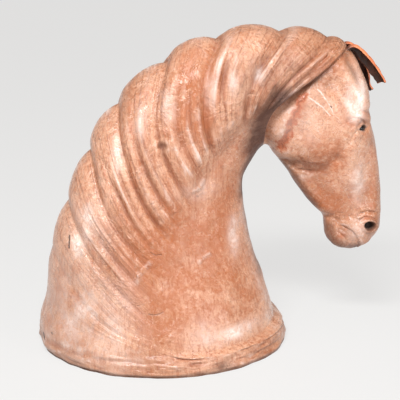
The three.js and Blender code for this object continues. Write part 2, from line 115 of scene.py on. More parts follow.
CHEEK_CENTRE, CHEEK_RADIUS, CHEEK_HEIGHT = (44, 69.6), 13.4, 1.7
RIM_HEIGHT, RIM_PROUD, RIM_BELLY = 7.414, 2.931, 0.3
THROAT_HOLLOW = [(44, 89), (38, 82), (33.5, 75.5), (29.5, 69), (28, 61)]

# Creases in the leather of both sides: line, reach, height
CREASES = {
    "lid_fold": ([(55.6, 71), (57.4, 71.8), (59.6, 71.5), (61.6, 70)], 0.7, -0.4),
    "brow_fold": ([(56.6, 73.4), (59.4, 74.2), (62.2, 73.2)], 0.5, -0.15),
    "tear_fold": ([(58.4, 67.5), (57.4, 66.4), (57, 64.8)], 0.7, -0.2),
    "under_eye": ([(57, 69.6), (56, 68.4), (55.8, 66.6)], 0.8, -0.15),
    "nostril_fold": ([(61.6, 37.4), (63.4, 38.6), (65.6, 38.4), (67.6, 37.2)], 0.45, -0.3),
    "nostril_ridge": ([(61.8, 38.4), (64, 39.4), (66.8, 38.7)], 0.7, 0.5),
    "nose_fold": ([(62.2, 39.8), (64.6, 40.4), (67, 39.7)], 0.5, -0.25),
    "nose_ridge": ([(62.5, 41.1), (64.9, 41.3), (67.1, 40.6)], 0.6, 0.35),
    "cheek_crease": ([(38, 57.7), (41.6, 54.8), (45.9, 54.2), (50, 54.9)], 0.8, -0.4),
    "jaw_crease": ([(41, 59.4), (43.6, 57.2), (47, 56.9)], 0.6, -0.3),
    "chin_crease": ([(52.6, 38.2), (55, 36.8), (56.4, 34.6)], 1.8, -0.2),
    "chin_pucker": ([(55.6, 33.4), (57.6, 31.6), (58.4, 29.4)], 0.7, -0.25),
}
# Fine marks of the right side, drawn by the leather's material: kind, reach, lines in the side view
DRAWN_MARKS = {
    "seam": (2.3, [[(41.5, 79.7), (40.4, 76.9), (38.6, 72.5), (37.3, 67), (36.3, 62.3)]]),
    "scratch": (0.34, [
        [(42.9, 79.5), (45, 78), (47.8, 75.9), (49.9, 73.5)],
        [(46, 81.5), (47.5, 80), (49.7, 76.8), (50.7, 74.7)]]),
    "slit": (0.36, [
        [(-30, 38.4), (-30.3, 35)], [(-36.5, 7.9), (-36.3, 7.6)], [(-39, 5.4), (-38.8, 4.2)],
        [(50.2, 76.2), (50.4, 76)]]),
    "nick": (0.32, [
        [(-6.4, 35.7), (-4.7, 34.6), (-3.1, 34.9)], [(-7.7, 18.2), (-5.4, 17.9), (-3.4, 18.6)],
        [(8.4, 50.8), (8.9, 50.5)], [(-10.8, 20.7), (-10.2, 20.5)]]),
    "scar": (1.2, [
        [(-11, 26.6), (-10.2, 29), (-8.7, 30.6), (-6.6, 32.4)], [(7.6, 52.4), (9.6, 53.2), (10.6, 55.2)],
        [(8.6, 31.2), (10, 32.4), (12, 33)]]),
}
# Painted shade, with some old wax, lies dark in these hollows of both sides: line, reach, amount
NECK_SHADES = {
    "along_cheek": ([(40, 82), (35, 78)], 3.2, 0.6),
    "behind_cheek": ([(34.6, 77.6), (31.8, 73.5), (30.2, 70), (29.2, 66), (28.4, 62)], 7.8, 1.3),
    "throat": ([(28.4, 62), (27.2, 58.5), (25.9, 54), (25.4, 48)], 4.4, 1.1),
    "neck_front": ([(25.4, 48), (25.6, 42), (27.4, 33), (30.4, 22)], 2.2, 0.55),
}
# Painted shade in the folds and hollows of the face, on both sides: line, reach, amount
FACE_SHADES = {
    "lid": ([(56.4, 71), (57.6, 71.5), (59.6, 71.1), (61.4, 69.8)], 1, 0.4),
    "jaw_fold": ([(39.6, 57.4), (42.6, 55.6), (45.6, 54.4), (49.6, 55)], 3.4, 0.5),
    "under_jaw": ([(37.4, 57), (42.4, 49.6), (47.8, 42)], 2.4, 0.6),
    "mouth_corner": ([(55.8, 34.2), (57.4, 33.2), (60.2, 31)], 1.6, 0.4),
    "chin": ([(52.6, 34.6), (54, 30.4), (58, 28.4), (62, 27.6)], 3.2, 0.75),
    "nostril": ([(65, 35.2), (66, 35.8)], 3.2, 0.75),
    "temple": ([(55.5, 88.5), (58.5, 84.5)], 2, 0.3),
    "nape": ([(52, 91), (55.6, 91.6)], 2.4, 0.5),
}
KNOT_PLACE, KNOT_SIZE = (-2.1, 66.4), 1.9
# Stains of the right side: centre in the side view, reach along x and z, amount. over_eye, nape_hollow,
# ear_hollow, under_lock and mouth_corner are partly painted shade in folds and hollows
RUST_STAINS_AND_SHADE = {
    "neck": ((4, 34), (14, 20), 1.35),
    "mid_neck": ((-8, 31), (7, 12), 0.9),
    "neck_front": ((17, 43), (6, 14), 1),
    "low_neck": ((0, 16), (15, 5), 1.1),
    "low_right": ((22, 20), (7, 9), 0.7),
    "upper_mane": ((9, 83), (5, 9), 1.7),
    "mid_mane": ((4, 70), (10, 8), 0.7),
    "seam_top": ((40.4, 77.2), (2.2, 3), 1.4),
    "nose": ((50.6, 59.8), (4.4, 5.4), 3.2),
    "temple_low": ((55, 71), (3, 5), 0.5),
    "over_eye": ((57.6, 70.6), (2.6, 1.6), 2.2),
    "mouth_corner": ((56.8, 33), (1.7, 1.5), 1.3),
    "jaw_band": ((49, 47.5), (6, 4), 1),
    "muzzle": ((53.2, 43.6), (4.2, 4.2), 1.5),
    "nape_hollow": ((50, 88.6), (6.4, 2.2), 1.3),
    "ear_hollow": ((43, 85.2), (5, 2.4), 0.5),
    "cheek": ((44, 64), (7, 5), 0.3),
    "nose_front": ((66.8, 52), (2.4, 11), 0.7),
    "under_lock": ((26, 76), (6, 8), 0.5),
}
# Pale places of the right side: centre in the side view, reach along x and z, amount. Temple, nose, slit,
# low front and the locks' places are painted highlight and sheen, low_back is painted light on the lower
# back; the others are pale patches
WEAR_AND_SHEEN_PLACES = {
    "temple": ((58.9, 77.6), (3.2, 6), 1.8),
    "nose": ((60.6, 50.5), (2.4, 6), 0.8),
    "upper_lip": ((61.2, 34.4), (2.4, 3.2), 0.8),
    "back_cheek": ((36.4, 70), (2.4, 7), 0.35),
    "mid_cheek": ((43, 70), (4, 6), 0.35),
    "low_back": ((-25, 15), (12, 14), 0.65),
    "slit": ((-28.2, 35.4), (1.7, 3.4), 1),
    "low_lock": ((-24.4, 44.7), (1.3, 4), 0.6),
    "third_lock": ((-15.4, 63.2), (1.3, 4.2), 0.7),
    "fourth_lock": ((-8.2, 71.9), (1.5, 3.6), 0.7),
    "high_lock": ((-0.2, 77.4), (1.9, 4), 0.8),
    "crest_lock": ((12.4, 81.7), (1.4, 4), 0.75),
    "nape_lock": ((19.2, 84.8), (1.2, 3.4), 0.8),
    "last_lock": ((27.1, 86.9), (1.5, 2.6), 0.7),
    "mid_back": ((-24, 42), (5, 7), 0.5),
    "low_front": ((7.4, 11.4), (5, 3.4), 0.45),
    "front_streak": ((20, 9.8), (7, 1.8), 1),
    "front": ((20.4, 37), (2, 6), 0.9),
    "mid": ((9.1, 52.1), (5, 2.6), 0.7),
}
# Dark places of the right side: centre, reach along x and z, amount; last_lock is the lock's greyer tone,
# the others are painted shade in hollows and at the rim's foot
DARK_STAINS_AND_SHADE = {
    "mouth_corner": ((56.8, 33), (1.7, 1.5), 0.12),
    "nape_hollow": ((50, 88.6), (6.4, 2.2), 0.1),
    "ear_hollow": ((43, 85.2), (5, 2.4), 0.05),
    "last_lock": ((34, 87), (13, 9), 0.26),
    "under_lock": ((26, 76), (6, 8), 0.2),
    "rim_foot_shade": ((14.6, 1.6), (3.6, 1.5), 0.9),
}
MOUTH_LINE = [(55.6, 35.4), (57.2, 35.4), (59.8, 33.8), (61.3, 31.6), (62.6, 28.8), (62.8, 25)]
NOSTRIL_PLACE, NOSTRIL_HALVES, NOSTRIL_DEPTH = (65.3, 35.8), (2.05, 1.55), 2.6
# Almond of the lids: half width, and its rise and fall at the middle
LID_HALF, LID_RISE, LID_FALL = 1.55, 0.85, 0.7
LID_OFF_GLASS = 0.22

HIDE_ROWS, HIDE_COLUMNS = 488, 200
BASE_RINGS = (0.3, 0.6, 0.85, 0.95)
# How much darker the flat underside's rings start, in the hollow and dark shares
BASE_DARK = 0.35
FLAT_FOOT = 0.004  # below this height nothing is dimpled

EAR_STATION, EAR_TURN = 10.95, math.radians(14)
EAR_CURL = (78, 56)
EAR_STEPS, EAR_ARC = 70, 16
EAR_PEBBLE, EAR_CRUMPLE = 0.006, 0.0008
# length: share of a whole ear; splay, pitch and roll in degrees; tip: width left at the end, as a share
EAR_POSES = {
    "ear_right": {
        "side": RIGHT, "length": 0.88, "splay": 3, "roll": 26, "tip": 0.84,
        "pitch": ((0, 50), (0.1, 0), (0.22, -40), (0.5, -50), (1, -62)),
    },
    "ear_left": {
        "side": LEFT, "length": 1.0, "splay": -3, "roll": -30, "tip": 0.35,
        "pitch": ((0, 48), (0.1, -10), (0.22, -52), (0.55, -66), (0.88, -80), (1, -36)),
    },
}

EYE_RINGS, EYE_SPOKES = 24, 40
EYE_AXIS = (0.42, 0.9, 0.12)
EYE_SHARE, EYE_BULGE = 0.985, 0.02  # of the solid ball's radius

FLOOR_RADIUS, FLOOR_CORNERS = 14, 96
CAMERA_AIM = Vector((0.0665, 0, 0.2575))
SENSOR_WIDTH = 36
# Soft lights: place, aim, width and height
KEY_LIGHT = ((-0.5, -1.6, 2.3), (0, 0, 0.3), 1.5, 0.45)
SIDE_LIGHT = ((1.6, -1.8, 0.75), (0.3, 0, 0.42), 1, 0.9)
DAYLIGHT_PLACE, DAYLIGHT_SPREAD = (-2.0, -1.6, 3.0), math.radians(50)


# Numbers and fields

def smooth(low, high, value):
    share = np.clip((value - low) / (high - low), 0, 1)
    return share * share * (3 - 2 * share)


def stepped(values, at):
    return np.interp(at, np.arange(len(values)), values)


def bell(gap, reach):
    fall = np.clip(1 - (gap / reach) ** 2, 0, 1)
    return fall * fall


def rounded(across, power):
    return 1 - np.abs(2 * across - 1) ** power


def mottle(places, seed):
    """Smooth random field from -1 to 1 over places of two or three measures, one feature per unit."""
    size = 64 if places.shape[-1] == 2 else 24
    table = np.random.default_rng(seed).uniform(-1, 1, (size,) * places.shape[-1])
    cell = np.floor(places).astype(int)
    share = places - cell
    share = share * share * (3 - 2 * share)
    total = np.zeros(places.shape[:-1])
    for corner in np.ndindex(*(2,) * places.shape[-1]):
        weight = np.prod([share[..., axis] if step else 1 - share[..., axis]
                          for axis, step in enumerate(corner)], axis=0)
        total += weight * table[tuple((cell[..., axis] + step) % size for axis, step in enumerate(corner))]
    return total


def line_gap(line, place):
    """Distance in the side view from each place to a line of (x, z) points."""
    nearest = np.full(place.shape[:-1], np.inf)
    for start, end in zip(line, line[1:]):
        run = np.subtract(end, start)
        away = place[..., ::2] - start
        along = np.clip(away @ run / (run @ run), 0, 1)
        nearest = np.minimum(nearest, np.linalg.norm(away - along[..., None] * run, axis=-1))
    return nearest


def unit_vectors(vectors):
    return vectors / np.maximum(np.linalg.norm(vectors, axis=-1, keepdims=True), 1e-12)


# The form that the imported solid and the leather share

def sections_at(at):
    at = np.clip(at, 0, LAST_SECTION - 1e-9)
    index = np.floor(at).astype(int)
    share = (at - index)[..., None]
    before, here, then, after = (SECTIONS[np.clip(index + step, 0, LAST_SECTION)] for step in (-1, 0, 1, 2))
    leave = (then - before) / 2
    arrive = (after - here) / 2
    cubic = (2 * here - 2 * then + leave + arrive) * share
    square = (cubic - 3 * here + 3 * then - 2 * leave - arrive) * share
    return (square + leave) * share + here


def hang(middle, turn):
    """Share of the way from crest to throat at a turn of 0 at the crest and pi at the throat."""
    even = (1 - np.cos(turn)) / 2
    return middle * even / (middle * even + (1 - middle) * (1 - even))


def swept(start, share):
    """Section under a line of the form that springs from `start` on the crest."""
    end = stepped(LOCK_END, start)
    past = np.clip(share - end, 0, SWEEP_FADE)
    run = np.minimum(share, end + SWEEP_FADE) - past * past / (2 * SWEEP_FADE)
    return start - stepped(LOCK_SWEEP, start) * run


def bare(start, turn):
    share = hang(sections_at(start)[..., 5], turn)
    here = sections_at(swept(start, share))
    share = hang(here[..., 5], turn)
    crestward = (1 + np.cos(turn)) / 2
    roundness = here[..., 6] * crestward + here[..., 7] * (1 - crestward)
    sine = np.sin(turn)
    return np.stack([
        here[..., 0] + (here[..., 2] - here[..., 0]) * share,
        here[..., 4] * np.sign(sine) * np.abs(sine) ** roundness,
        here[..., 1] + (here[..., 3] - here[..., 1]) * share,
    ], -1)


def bare_outward(start, turn, tiny=1e-3):
    along = bare(start + tiny, turn) - bare(np.maximum(start - tiny, 0), turn)
    around = bare(start, turn + tiny) - bare(start, turn - tiny)
    outward = np.cross(along, around)
    outward[..., 2] = np.where(start <= 0, 0, outward[..., 2])
    return unit_vectors(outward)


def mane_present(start, share, y):
    end = stepped(LOCK_END, start)
    return ((1 - smooth(end - 0.14, end + 0.05, share)) * smooth(1.5, 4.5, start)
            * (1 - smooth(LAST_LOCK - 0.25, LAST_LOCK - 0.02, start))
            * (1 - (1 - FAR_SIDE) * smooth(0, 4.5, y)))


def strand_grooves(start, share, y, narrow=1.0):
    """Depth of the grooves between strands, which wander and come and go along the mane."""
    across = np.clip(start % 1, 0, 1 - 1e-9)
    wander = 0.12 * mottle(np.stack([start * 0.9, share * 4 + np.sign(y)], -1), 3) * rounded(across, 2)
    total = np.zeros(start.shape)
    for at, width, much in STRAND_GROOVES:
        uneven = 1 + mottle(np.stack([(np.floor(start) + at) * 3.7, share * 5 + 9 * np.sign(y)], -1), 4)
        total += much * uneven * np.exp(-((across + wander - at) / (width * narrow)) ** 2)
    return total


def mane_height(start, share, y, strand_ridge, hair_ridge):
    across = np.clip(start % 1, 0, 1 - 1e-9)
    swell = stepped(LOCK_SWELL, start)
    on_crest = 1 - smooth(0, 0.25, share)
    low_neck = 0.3 + 0.7 * smooth(3.2, 6.8, start)
    body = LOCK_THICK * smooth(0, 0.2, share) + rounded(across ** 0.85, 2.4) * (
        swell * on_crest + 0.75 * (LOCK_RIDGE + swell / 4) * (1 - on_crest) * low_neck)
    calm = 1 - 0.75 * smooth(8.6, 9.6, start)
    strands = strand_ridge * calm * low_neck * (0.8 - strand_grooves(start, share, y))
    strands *= smooth(0.05, 0.2, share)
    hairs = sum(mottle(np.stack([start * often, share * 5 + often + 7 * np.sign(y)], -1), seed) * much
                for often, much, seed in ((6.3, 1.0, 5), (11.0, 0.7, 6)))
    hairs = hair_ridge * hairs * smooth(0.03, 0.2, share) * (1.5 - 0.5 * calm)
    return mane_present(start, share, y) * (body + strands + hairs)


def face_height(start, place):
    off_middle = smooth(0.5, 5, np.abs(place[..., 1]))
    flank = smooth(3, 8, np.abs(place[..., 1]))
    height = np.zeros(start.shape)
    for line, reach, much in FACE_FORMS.values():
        mask = flank if line[0][1] > FORM_MASK_HEIGHT else off_middle
        height += mask * much * bell(line_gap(line, place), reach)
    from_cheek = np.hypot(place[..., 0] - CHEEK_CENTRE[0], place[..., 2] - CHEEK_CENTRE[1]) / CHEEK_RADIUS
    height += off_middle * CHEEK_HEIGHT * np.clip(1 - from_cheek ** 4, 0, 1) ** 1.5
    hollow = 3.4 * bell(line_gap(THROAT_HOLLOW, place), 5.0)
    return height - off_middle * hollow * smooth(LAST_LOCK - 0.15, LAST_LOCK, start)


def rim_top(turn, place):
    frontward = np.clip((1 + place[..., 0] / 38) / 2, 0, 1)
    return RIM_HEIGHT * (0.7 + 0.3 * frontward) * (1 + 0.06 * np.sin(4 * turn + 1)), frontward


def rim_height(start, share, turn, place):
    top, frontward = rim_top(turn, place)
    uneven = 1 + 0.16 * np.sin(3 * turn + 0.7) + 0.1 * np.sin(7 * turn + 2)
    belly = top * RIM_BELLY
    level = np.clip((place[..., 2] - belly) / (top - belly), -0.35, 1)
    grow = 0.3 * smooth(0, 0.5, frontward) + 0.7 * smooth(0.55, 1, frontward)
    proud = RIM_PROUD * (0.1 + 0.9 * grow) * uneven
    # The top of the roll runs softly into the neck
    soft = 0.5 + 0.75 * smooth(0.35, 1, level)
    height = proud * (1 - np.maximum(level, level * 0.35) ** 2) ** soft
    return np.where(swept(start, share) < 2.2, height, 0)


def carved(start, turn, strand_ridge=1.1, hair_ridge=0.0):
    """The form with its relief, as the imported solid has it, and its outward direction."""
    place = bare(start, turn)
    outward = bare_outward(start, turn)
    share = hang(sections_at(start)[..., 5], turn)
    height = mane_height(start, share, place[..., 1], strand_ridge, hair_ridge) + face_height(start, place)
    height += rim_height(start, share, turn, place)
    return place + outward * height[..., None], outward


def crowded(low, high, count, density):
    """Values from low to high, closer together where the density is higher."""
    fine = np.linspace(low, high, 4000)
    weight = density(fine)
    total = np.concatenate([[0], np.cumsum((weight[1:] + weight[:-1]) / 2)])
    return np.interp(np.linspace(0, total[-1], count), total, fine)


def row_density(start):
    return (1.0 + 1.7 * ((start > 1) & (start < 11.3)) + 3.6 * ((start > 13.35) & (start < 14.5))
            + 1.9 * ((start > 17.7) & (start < 21.2)))


def turn_density(turn):
    side = np.degrees(np.abs(turn))
    return 1.0 + 0.7 * ((side > 8) & (side < 150)) + 1.3 * ((side > 50) & (side < 92))


def blurred(values, rounds):
    """Grid values averaged with their neighbours along and around, again and again."""
    for _ in range(rounds):
        rows = np.concatenate([values[:1], values, values[-1:]])
        values = (rows[2:] + rows[:-2] + np.roll(values, 1, 1) + np.roll(values, -1, 1) + 2 * values) / 6
    return values


def grid_outward(place):
    along = np.gradient(place, axis=0)
    around = np.roll(place, -1, 1) - np.roll(place, 1, 1)
    return unit_vectors(np.cross(along, around))


# Meshes

def mesh_object(name, verts, faces, material=None, attributes=None, uv=None):
    mesh = bpy.data.meshes.new(name)
    mesh.from_pydata(verts.tolist(), [], faces)
    mesh.update()
    for label, values in (attributes or {}).items():
        painted = mesh.attributes.new(label, "FLOAT", "POINT")
        painted.data.foreach_set("value", np.ravel(values).astype(np.float32))
    if uv is not None:
        corners = np.empty(len(mesh.loops), int)
        mesh.loops.foreach_get("vertex_index", corners)
        layer = mesh.uv_layers.new(name="along_locks")
        layer.data.foreach_set("uv", uv[corners].astype(np.float32).ravel())
    mesh.shade_smooth()
    if material:
        mesh.materials.append(material)
    made = bpy.data.objects.new(name, mesh)
    bpy.context.scene.collection.objects.link(made)
    return made


def ring_faces(rows, count):
    """Faces of a closed loft, with a point for each end after the last ring."""
    faces = []
    for row in range(rows - 1):
        for step in range(count):
            here = row * count + step
            beside = row * count + (step + 1) % count
            faces.append((here, here + count, beside + count, beside))
    first, last = rows * count, rows * count + 1
    top = (rows - 1) * count
    for step in range(count):
        beside = (step + 1) % count
        faces.append((first, step, beside))
        faces.append((last, top + beside, top + step))
    return faces


def finished(piece, node):
    """Puts a piece in its CAD node's place."""
    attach(piece, "root")
    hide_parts(node)


# Nodes

def add_node(tree, kind, inputs=None, **settings):
    node = tree.nodes.new(kind)
    for label, value in settings.items():
        setattr(node, label, value)
    for label, value in (inputs or {}).items():
        if isinstance(value, bpy.types.NodeSocket):
            tree.links.new(value, node.inputs[label])
        else:
            node.inputs[label].default_value = value
    return node


class Paint:
    """Short calls for the nodes of one material, whose colour and relief are laid on in turn."""

    def __init__(self, name, colour):
        self.material = bpy.data.materials.new(name)
        self.material.use_nodes = True
        self.tree = self.material.node_tree
        self.shader = self.tree.nodes["Principled BSDF"]
        self.place = add_node(self.tree, "ShaderNodeTexCoord").outputs["Object"]
        self.colour = colour
        self.normal = None

    def attribute(self, label):
        return add_node(self.tree, "ShaderNodeAttribute", attribute_name=label).outputs["Fac"]

    def stretched(self, scale, place=None):
        return add_node(self.tree, "ShaderNodeMapping", {
            "Vector": place or self.place, "Scale": scale}).outputs["Vector"]

    def along_locks(self, scale):
        uv = add_node(self.tree, "ShaderNodeUVMap", uv_map="along_locks").outputs["UV"]
        return self.stretched(scale, uv)

    def noise(self, scale, detail=3.0, rough=0.5, bend=0.0, place=None):
        return add_node(self.tree, "ShaderNodeTexNoise", {
            "Vector": place or self.place, "Scale": scale, "Detail": detail,
            "Roughness": rough, "Distortion": bend}).outputs[0]

    def cracks(self, scale):
        return add_node(self.tree, "ShaderNodeTexVoronoi", {"Vector": self.place, "Scale": scale},
                        feature="DISTANCE_TO_EDGE").outputs["Distance"]

    def ranged(self, value, low, high, to_low=0.0, to_high=1.0):
        return add_node(self.tree, "ShaderNodeMapRange", {
            "Value": value, "From Min": low, "From Max": high, "To Min": to_low, "To Max": to_high},
            interpolation_type="SMOOTHSTEP").outputs["Result"]

    def maths(self, kind, first, second, clamp=False):
        return add_node(self.tree, "ShaderNodeMath", {0: first, 1: second}, operation=kind,
                        use_clamp=clamp).outputs[0]

    def vector(self, kind, first, second):
        return add_node(self.tree, "ShaderNodeVectorMath", {0: first, 1: second}, operation=kind).outputs[0]

    def times(self, first, *others):
        for other in others:
            first = self.maths("MULTIPLY", first, other)
        return first

    def line_at(self, value, level, width):
        """Thin line where a field passes a level."""
        away = self.maths("ABSOLUTE", self.maths("SUBTRACT", value, level), 0.0)
        return self.ranged(away, width, 0.0)

    def pushed(self, scale, detail, reach):
        """Places pushed about in the side view, which gives what is drawn there torn edges."""
        noise = add_node(self.tree, "ShaderNodeTexNoise", {
            "Vector": self.place, "Scale": scale, "Detail": detail}).outputs["Color"]
        return add_node(self.tree, "ShaderNodeVectorMath", {
            0: noise, 1: (reach, 0.0, reach), 2: self.place}, operation="MULTIPLY_ADD").outputs[0]

    def mix(self, share, below, above):
        return add_node(self.tree, "ShaderNodeMix", {0: share, 6: below, 7: above}, data_type="RGBA",
                        blend_type="MIX", clamp_result=True).outputs[2]

    def lay(self, shade, *masks):
        """Lays a shade over the colour so far, as much as the product of the masks says."""
        self.colour = self.mix(self.times(*masks), self.colour, shade)

    def bump(self, height, distance, strength):
        """Adds a relief to the ones so far."""
        inputs = {"Height": height, "Distance": distance, "Strength": strength}
        if self.normal:
            inputs["Normal"] = self.normal
        self.normal = add_node(self.tree, "ShaderNodeBump", inputs).outputs["Normal"]

    def finish(self, roughness, **constants):
        self.tree.links.new(self.colour, self.shader.inputs["Base Color"])
        if isinstance(roughness, bpy.types.NodeSocket):
            self.tree.links.new(roughness, self.shader.inputs["Roughness"])
        else:
            self.shader.inputs["Roughness"].default_value = roughness
        if self.normal:
            self.tree.links.new(self.normal, self.shader.inputs["Normal"])
        for label, value in constants.items():
            self.shader.inputs[label.replace("_", " ")].default_value = value
        return self.material


def linear(red, green, blue):
    """A colour as painted on screen, 0 to 255, as the shader reads it."""
    shares = [value / 255 for value in (red, green, blue)]
    return tuple(share / 12.92 if share <= 0.04045 else ((share + 0.055) / 1.055) ** 2.4
                 for share in shares) + (1.0,)


def colour_setting(name, description, shade):
    return bpy.props.FloatVectorProperty(name=name, description=description, default=linear(*shade), size=4,
                                         min=0, max=1, subtype="COLOR")


def number_setting(name, description, default, unit="NONE", low=0.0):
    return bpy.props.FloatProperty(name=name, description=description, default=default, min=low, unit=unit)


def angle_setting(name, description, degrees):
    return bpy.props.FloatProperty(name=name, description=description, default=math.radians(degrees),
                                   unit="ROTATION")


class HideSettings(bpy.types.PropertyGroup):
    strand_ridge: number_setting(
        "Strand ridge", "How high each strand of the mane stands", 0.9 * UNIT, "LENGTH")
    hair_ridge: number_setting("Hair ridge", "How high the hairs of a strand stand", 0.2 * UNIT, "LENGTH")
    pebble: number_setting("Pebble", "Width of one dimple in the leather", 0.011, "LENGTH", 0.001)
    crumple: number_setting("Crumple", "Depth of the leather's dimples", 0.0012, "LENGTH")
    seed: bpy.props.IntProperty(name="Seed", description="Changes the dimples", default=7)
    tan: colour_setting("Tan", "Main colour of the leather", (168, 111, 77))
    # peach: the leather's paler tone, also laid on raised ridges as painted highlight
    peach: colour_setting("Peach", "Worn, raised leather", (212, 163, 134))
    # rust_and_shade: reddish wear and stains; through the stains it also paints shade in some folds and
    # hollows
    rust_and_shade: colour_setting("Rust", "Reddish wear", (168, 94, 52))
    pink: colour_setting("Pink", "Cooler patches", (206, 158, 140))
    raw: colour_setting("Raw", "Torn, reddish seam and marbling", (172, 84, 42))
    # groove: painted shade with some wax in grooves and hollows; also the dark flecks, pores, hair lines,
    # the seam's middle and the ears' flecks
    groove: colour_setting("Groove", "Wax and dirt in the grooves", (118, 58, 26))
    # shadow: painted shade in sheltered hollows, with some old wax; it also darkens the nicks
    shadow: colour_setting("Shadow", "Old wax in sheltered hollows", (74, 34, 14))
    # grime_and_shade: dark stains, the knot, the lids' dark rim and slits, and painted shade in nostrils,
    # hollows and along the foot's bottom edge
    grime_and_shade: colour_setting("Grime", "Dark stains", (50, 34, 28))
    # scuff_and_sheen: pale rubbed wear, scars and veins, and painted highlight and sheen on ridges and pale
    # places
    scuff_and_sheen: colour_setting("Scuff", "Pale rubbed edges", (240, 220, 210))


class EarSettings(bpy.types.PropertyGroup):
    length: number_setting("Length", "Free length of a whole ear", 0.114, "LENGTH", 0.02)
    width: number_setting("Width", "Round the curve of the leather", 0.034, "LENGTH", 0.005)
    root_width: number_setting("Root width", "Width where the ear enters the poll", 0.020, "LENGTH", 0.005)
    root_depth: number_setting("Root depth", "How deep the root sits", 0.012, "LENGTH")
    thickness: number_setting("Thickness", "Of the ear's leather", 0.0032, "LENGTH", 0.001)
    outside: colour_setting("Outside", "Grain side of the ear", (226, 132, 88))
    outside_blotch: colour_setting("Outside blotches", "Redder places on the grain side", (196, 98, 60))
    inside: colour_setting("Inside", "Flesh side of the ear", (52, 32, 26))
    inside_blotch: colour_setting("Inside blotches", "Paler places on the flesh side", (84, 50, 38))


class EyeSettings(bpy.types.PropertyGroup):
    glass: colour_setting("Glass", "Dark of the eye", (14, 8, 5))
    iris: colour_setting("Iris", "Ring round the pupil", (40, 22, 12))


class StageSettings(bpy.types.PropertyGroup):
    turn: angle_setting("Turn", "Camera's place round the bust", -8)
    rise: angle_setting("Rise", "Camera's angle above level", 16)
    distance: number_setting("Distance", "Camera to bust", 354.2 * UNIT, "LENGTH", 0.2)
    lens: number_setting("Lens", "Focal length", 100.4, "CAMERA", 10)
    key: number_setting("Key light", "Long soft light above the front", 96, "POWER")
    fill: number_setting("Side light", "Small soft light at the right", 18, "POWER")
    daylight: number_setting("Daylight", "Very soft light from the upper left", 0.32)
    air_strength: number_setting("Air strength", "Strength of the light all round", 0.2)
    floor_glow: number_setting("Floor glow", "Light through the floor, which keeps shadows pale", 0.7)
    floor: colour_setting("Floor", "Floor of the studio", (104, 104, 103))
    floor_cloud: colour_setting("Floor clouds", "Faint patches of the floor", (98, 98, 99))
    air: colour_setting("Air", "Light all round", (254, 253, 252))


# The leather of head and neck

def local_places(place, centre, outward, tilt):
    """Each place as seen along an outward direction: forward, up and out from the centre."""
    forward = np.array((1.0, 0.0, 0.0))
    if abs(outward[1]) < 0.5:
        forward = np.cross((0.0, 1.0, 0.0), outward)
    forward = unit_vectors(forward - outward * (forward @ outward))
    up = np.cross(outward, forward)
    if up[2] < 0:
        up = -up
    turned = forward * math.cos(tilt) + up * math.sin(tilt)
    raised = up * math.cos(tilt) - forward * math.sin(tilt)
    away = place - centre
    return away @ turned, away @ raised, away @ outward


def with_eyes(place, dark):
    """Lids drawn round each glass eye, and a dark rim where they meet it."""
    for side, node in ((RIGHT, "eye_right"), (LEFT, "eye_left")):
        low, high = (np.array(corner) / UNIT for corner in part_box(node))
        centre = (low + high) / 2
        radius = (high - low).max() / 2
        near = np.linalg.norm(place - centre, axis=-1)
        outward = unit_vectors(place[near < radius * 1.6].mean(axis=0) - centre)
        forward, up, _ = local_places(place, centre, outward, math.radians(10))
        arch = np.clip(1 - (forward / LID_HALF) ** 2, 0, 1)
        past = np.abs(forward) - LID_HALF
        gap = np.where(past > 0, np.hypot(past, up), np.maximum(up - LID_RISE * arch, -up - LID_FALL * arch))
        facing = ((place - centre) @ outward) > -radius
        close = (near < 6) & facing
        upper = smooth(-0.3, 0.5, up)
        lid = (0.36 + 0.5 * upper) * np.exp(-(np.clip(gap, 0, None) / (0.55 + 0.35 * upper)) ** 2)
        lid = lid * smooth(-0.25, 0.05, gap) - 1.3 * (1 - smooth(-0.25, 0.05, gap))
        place = place + outward * np.where(close, lid, 0)[..., None]
        reach = np.linalg.norm(place - centre, axis=-1, keepdims=True)
        lid_radius = radius + LID_OFF_GLASS
        cover = close & (gap > 0) & (reach[..., 0] < lid_radius)
        place = np.where(cover[..., None], centre + (place - centre) / reach * lid_radius, place)
        dark = np.maximum(dark, np.where(close, np.exp(-(np.clip(gap + 0.05, 0, None) / 0.35) ** 2), 0))
    return place, dark


def with_nostrils(place, outward, dark):
    """Nostrils pressed in on both sides, with a soft rim and painted shade inside."""
    for side in (RIGHT, LEFT):
        away = np.hypot(place[..., 0] - NOSTRIL_PLACE[0], place[..., 2] - NOSTRIL_PLACE[1])
        spot = np.unravel_index(np.argmin(np.where(place[..., 1] * side > 3, away, np.inf)), away.shape)
        forward, up, out = local_places(place, place[spot], outward[spot], math.radians(-15))
        round_gap = np.hypot(forward / NOSTRIL_HALVES[0], up / NOSTRIL_HALVES[1])
        near = (round_gap < 3) & (np.abs(out) < 4) & (place[..., 1] * side > 0)
        hole = -NOSTRIL_DEPTH * (1 - smooth(0.45, 1.08, round_gap))
        rim = (0.3 + 0.25 * smooth(-0.4, 1.2, up)) * bell(round_gap - 1.3, 0.5)
        place = place + outward[spot] * np.where(near, hole + rim, 0)[..., None]
        # Painted shade inside the nostril
        dark = np.maximum(dark, np.where(near, 1 - smooth(0.5, 1.2, round_gap), 0))
    return place, dark


def with_mouth(place, outward, pale):
    """The mouth's line, with a pale line along the upper lip over it."""
    gap = line_gap(MOUTH_LINE, place)
    below = line_gap([(x - 0.9, z - 0.7) for x, z in MOUTH_LINE], place)
    above = line_gap([(x + 0.9, z + 0.7) for x, z in MOUTH_LINE], place)
    wide = smooth(54.6, 57.4, place[..., 0]) * (place[..., 2] < 38)
    height = 0.22 * bell(above, 1.8) - 0.2 * bell(below, 1.5) - 0.3 * bell(gap, 0.6)
    right = smooth(0, 2, -place[..., 1])
    pale = np.maximum(pale, 0.4 * right * wide * bell(above, 0.7))
    return place + outward * (wide * height)[..., None], pale


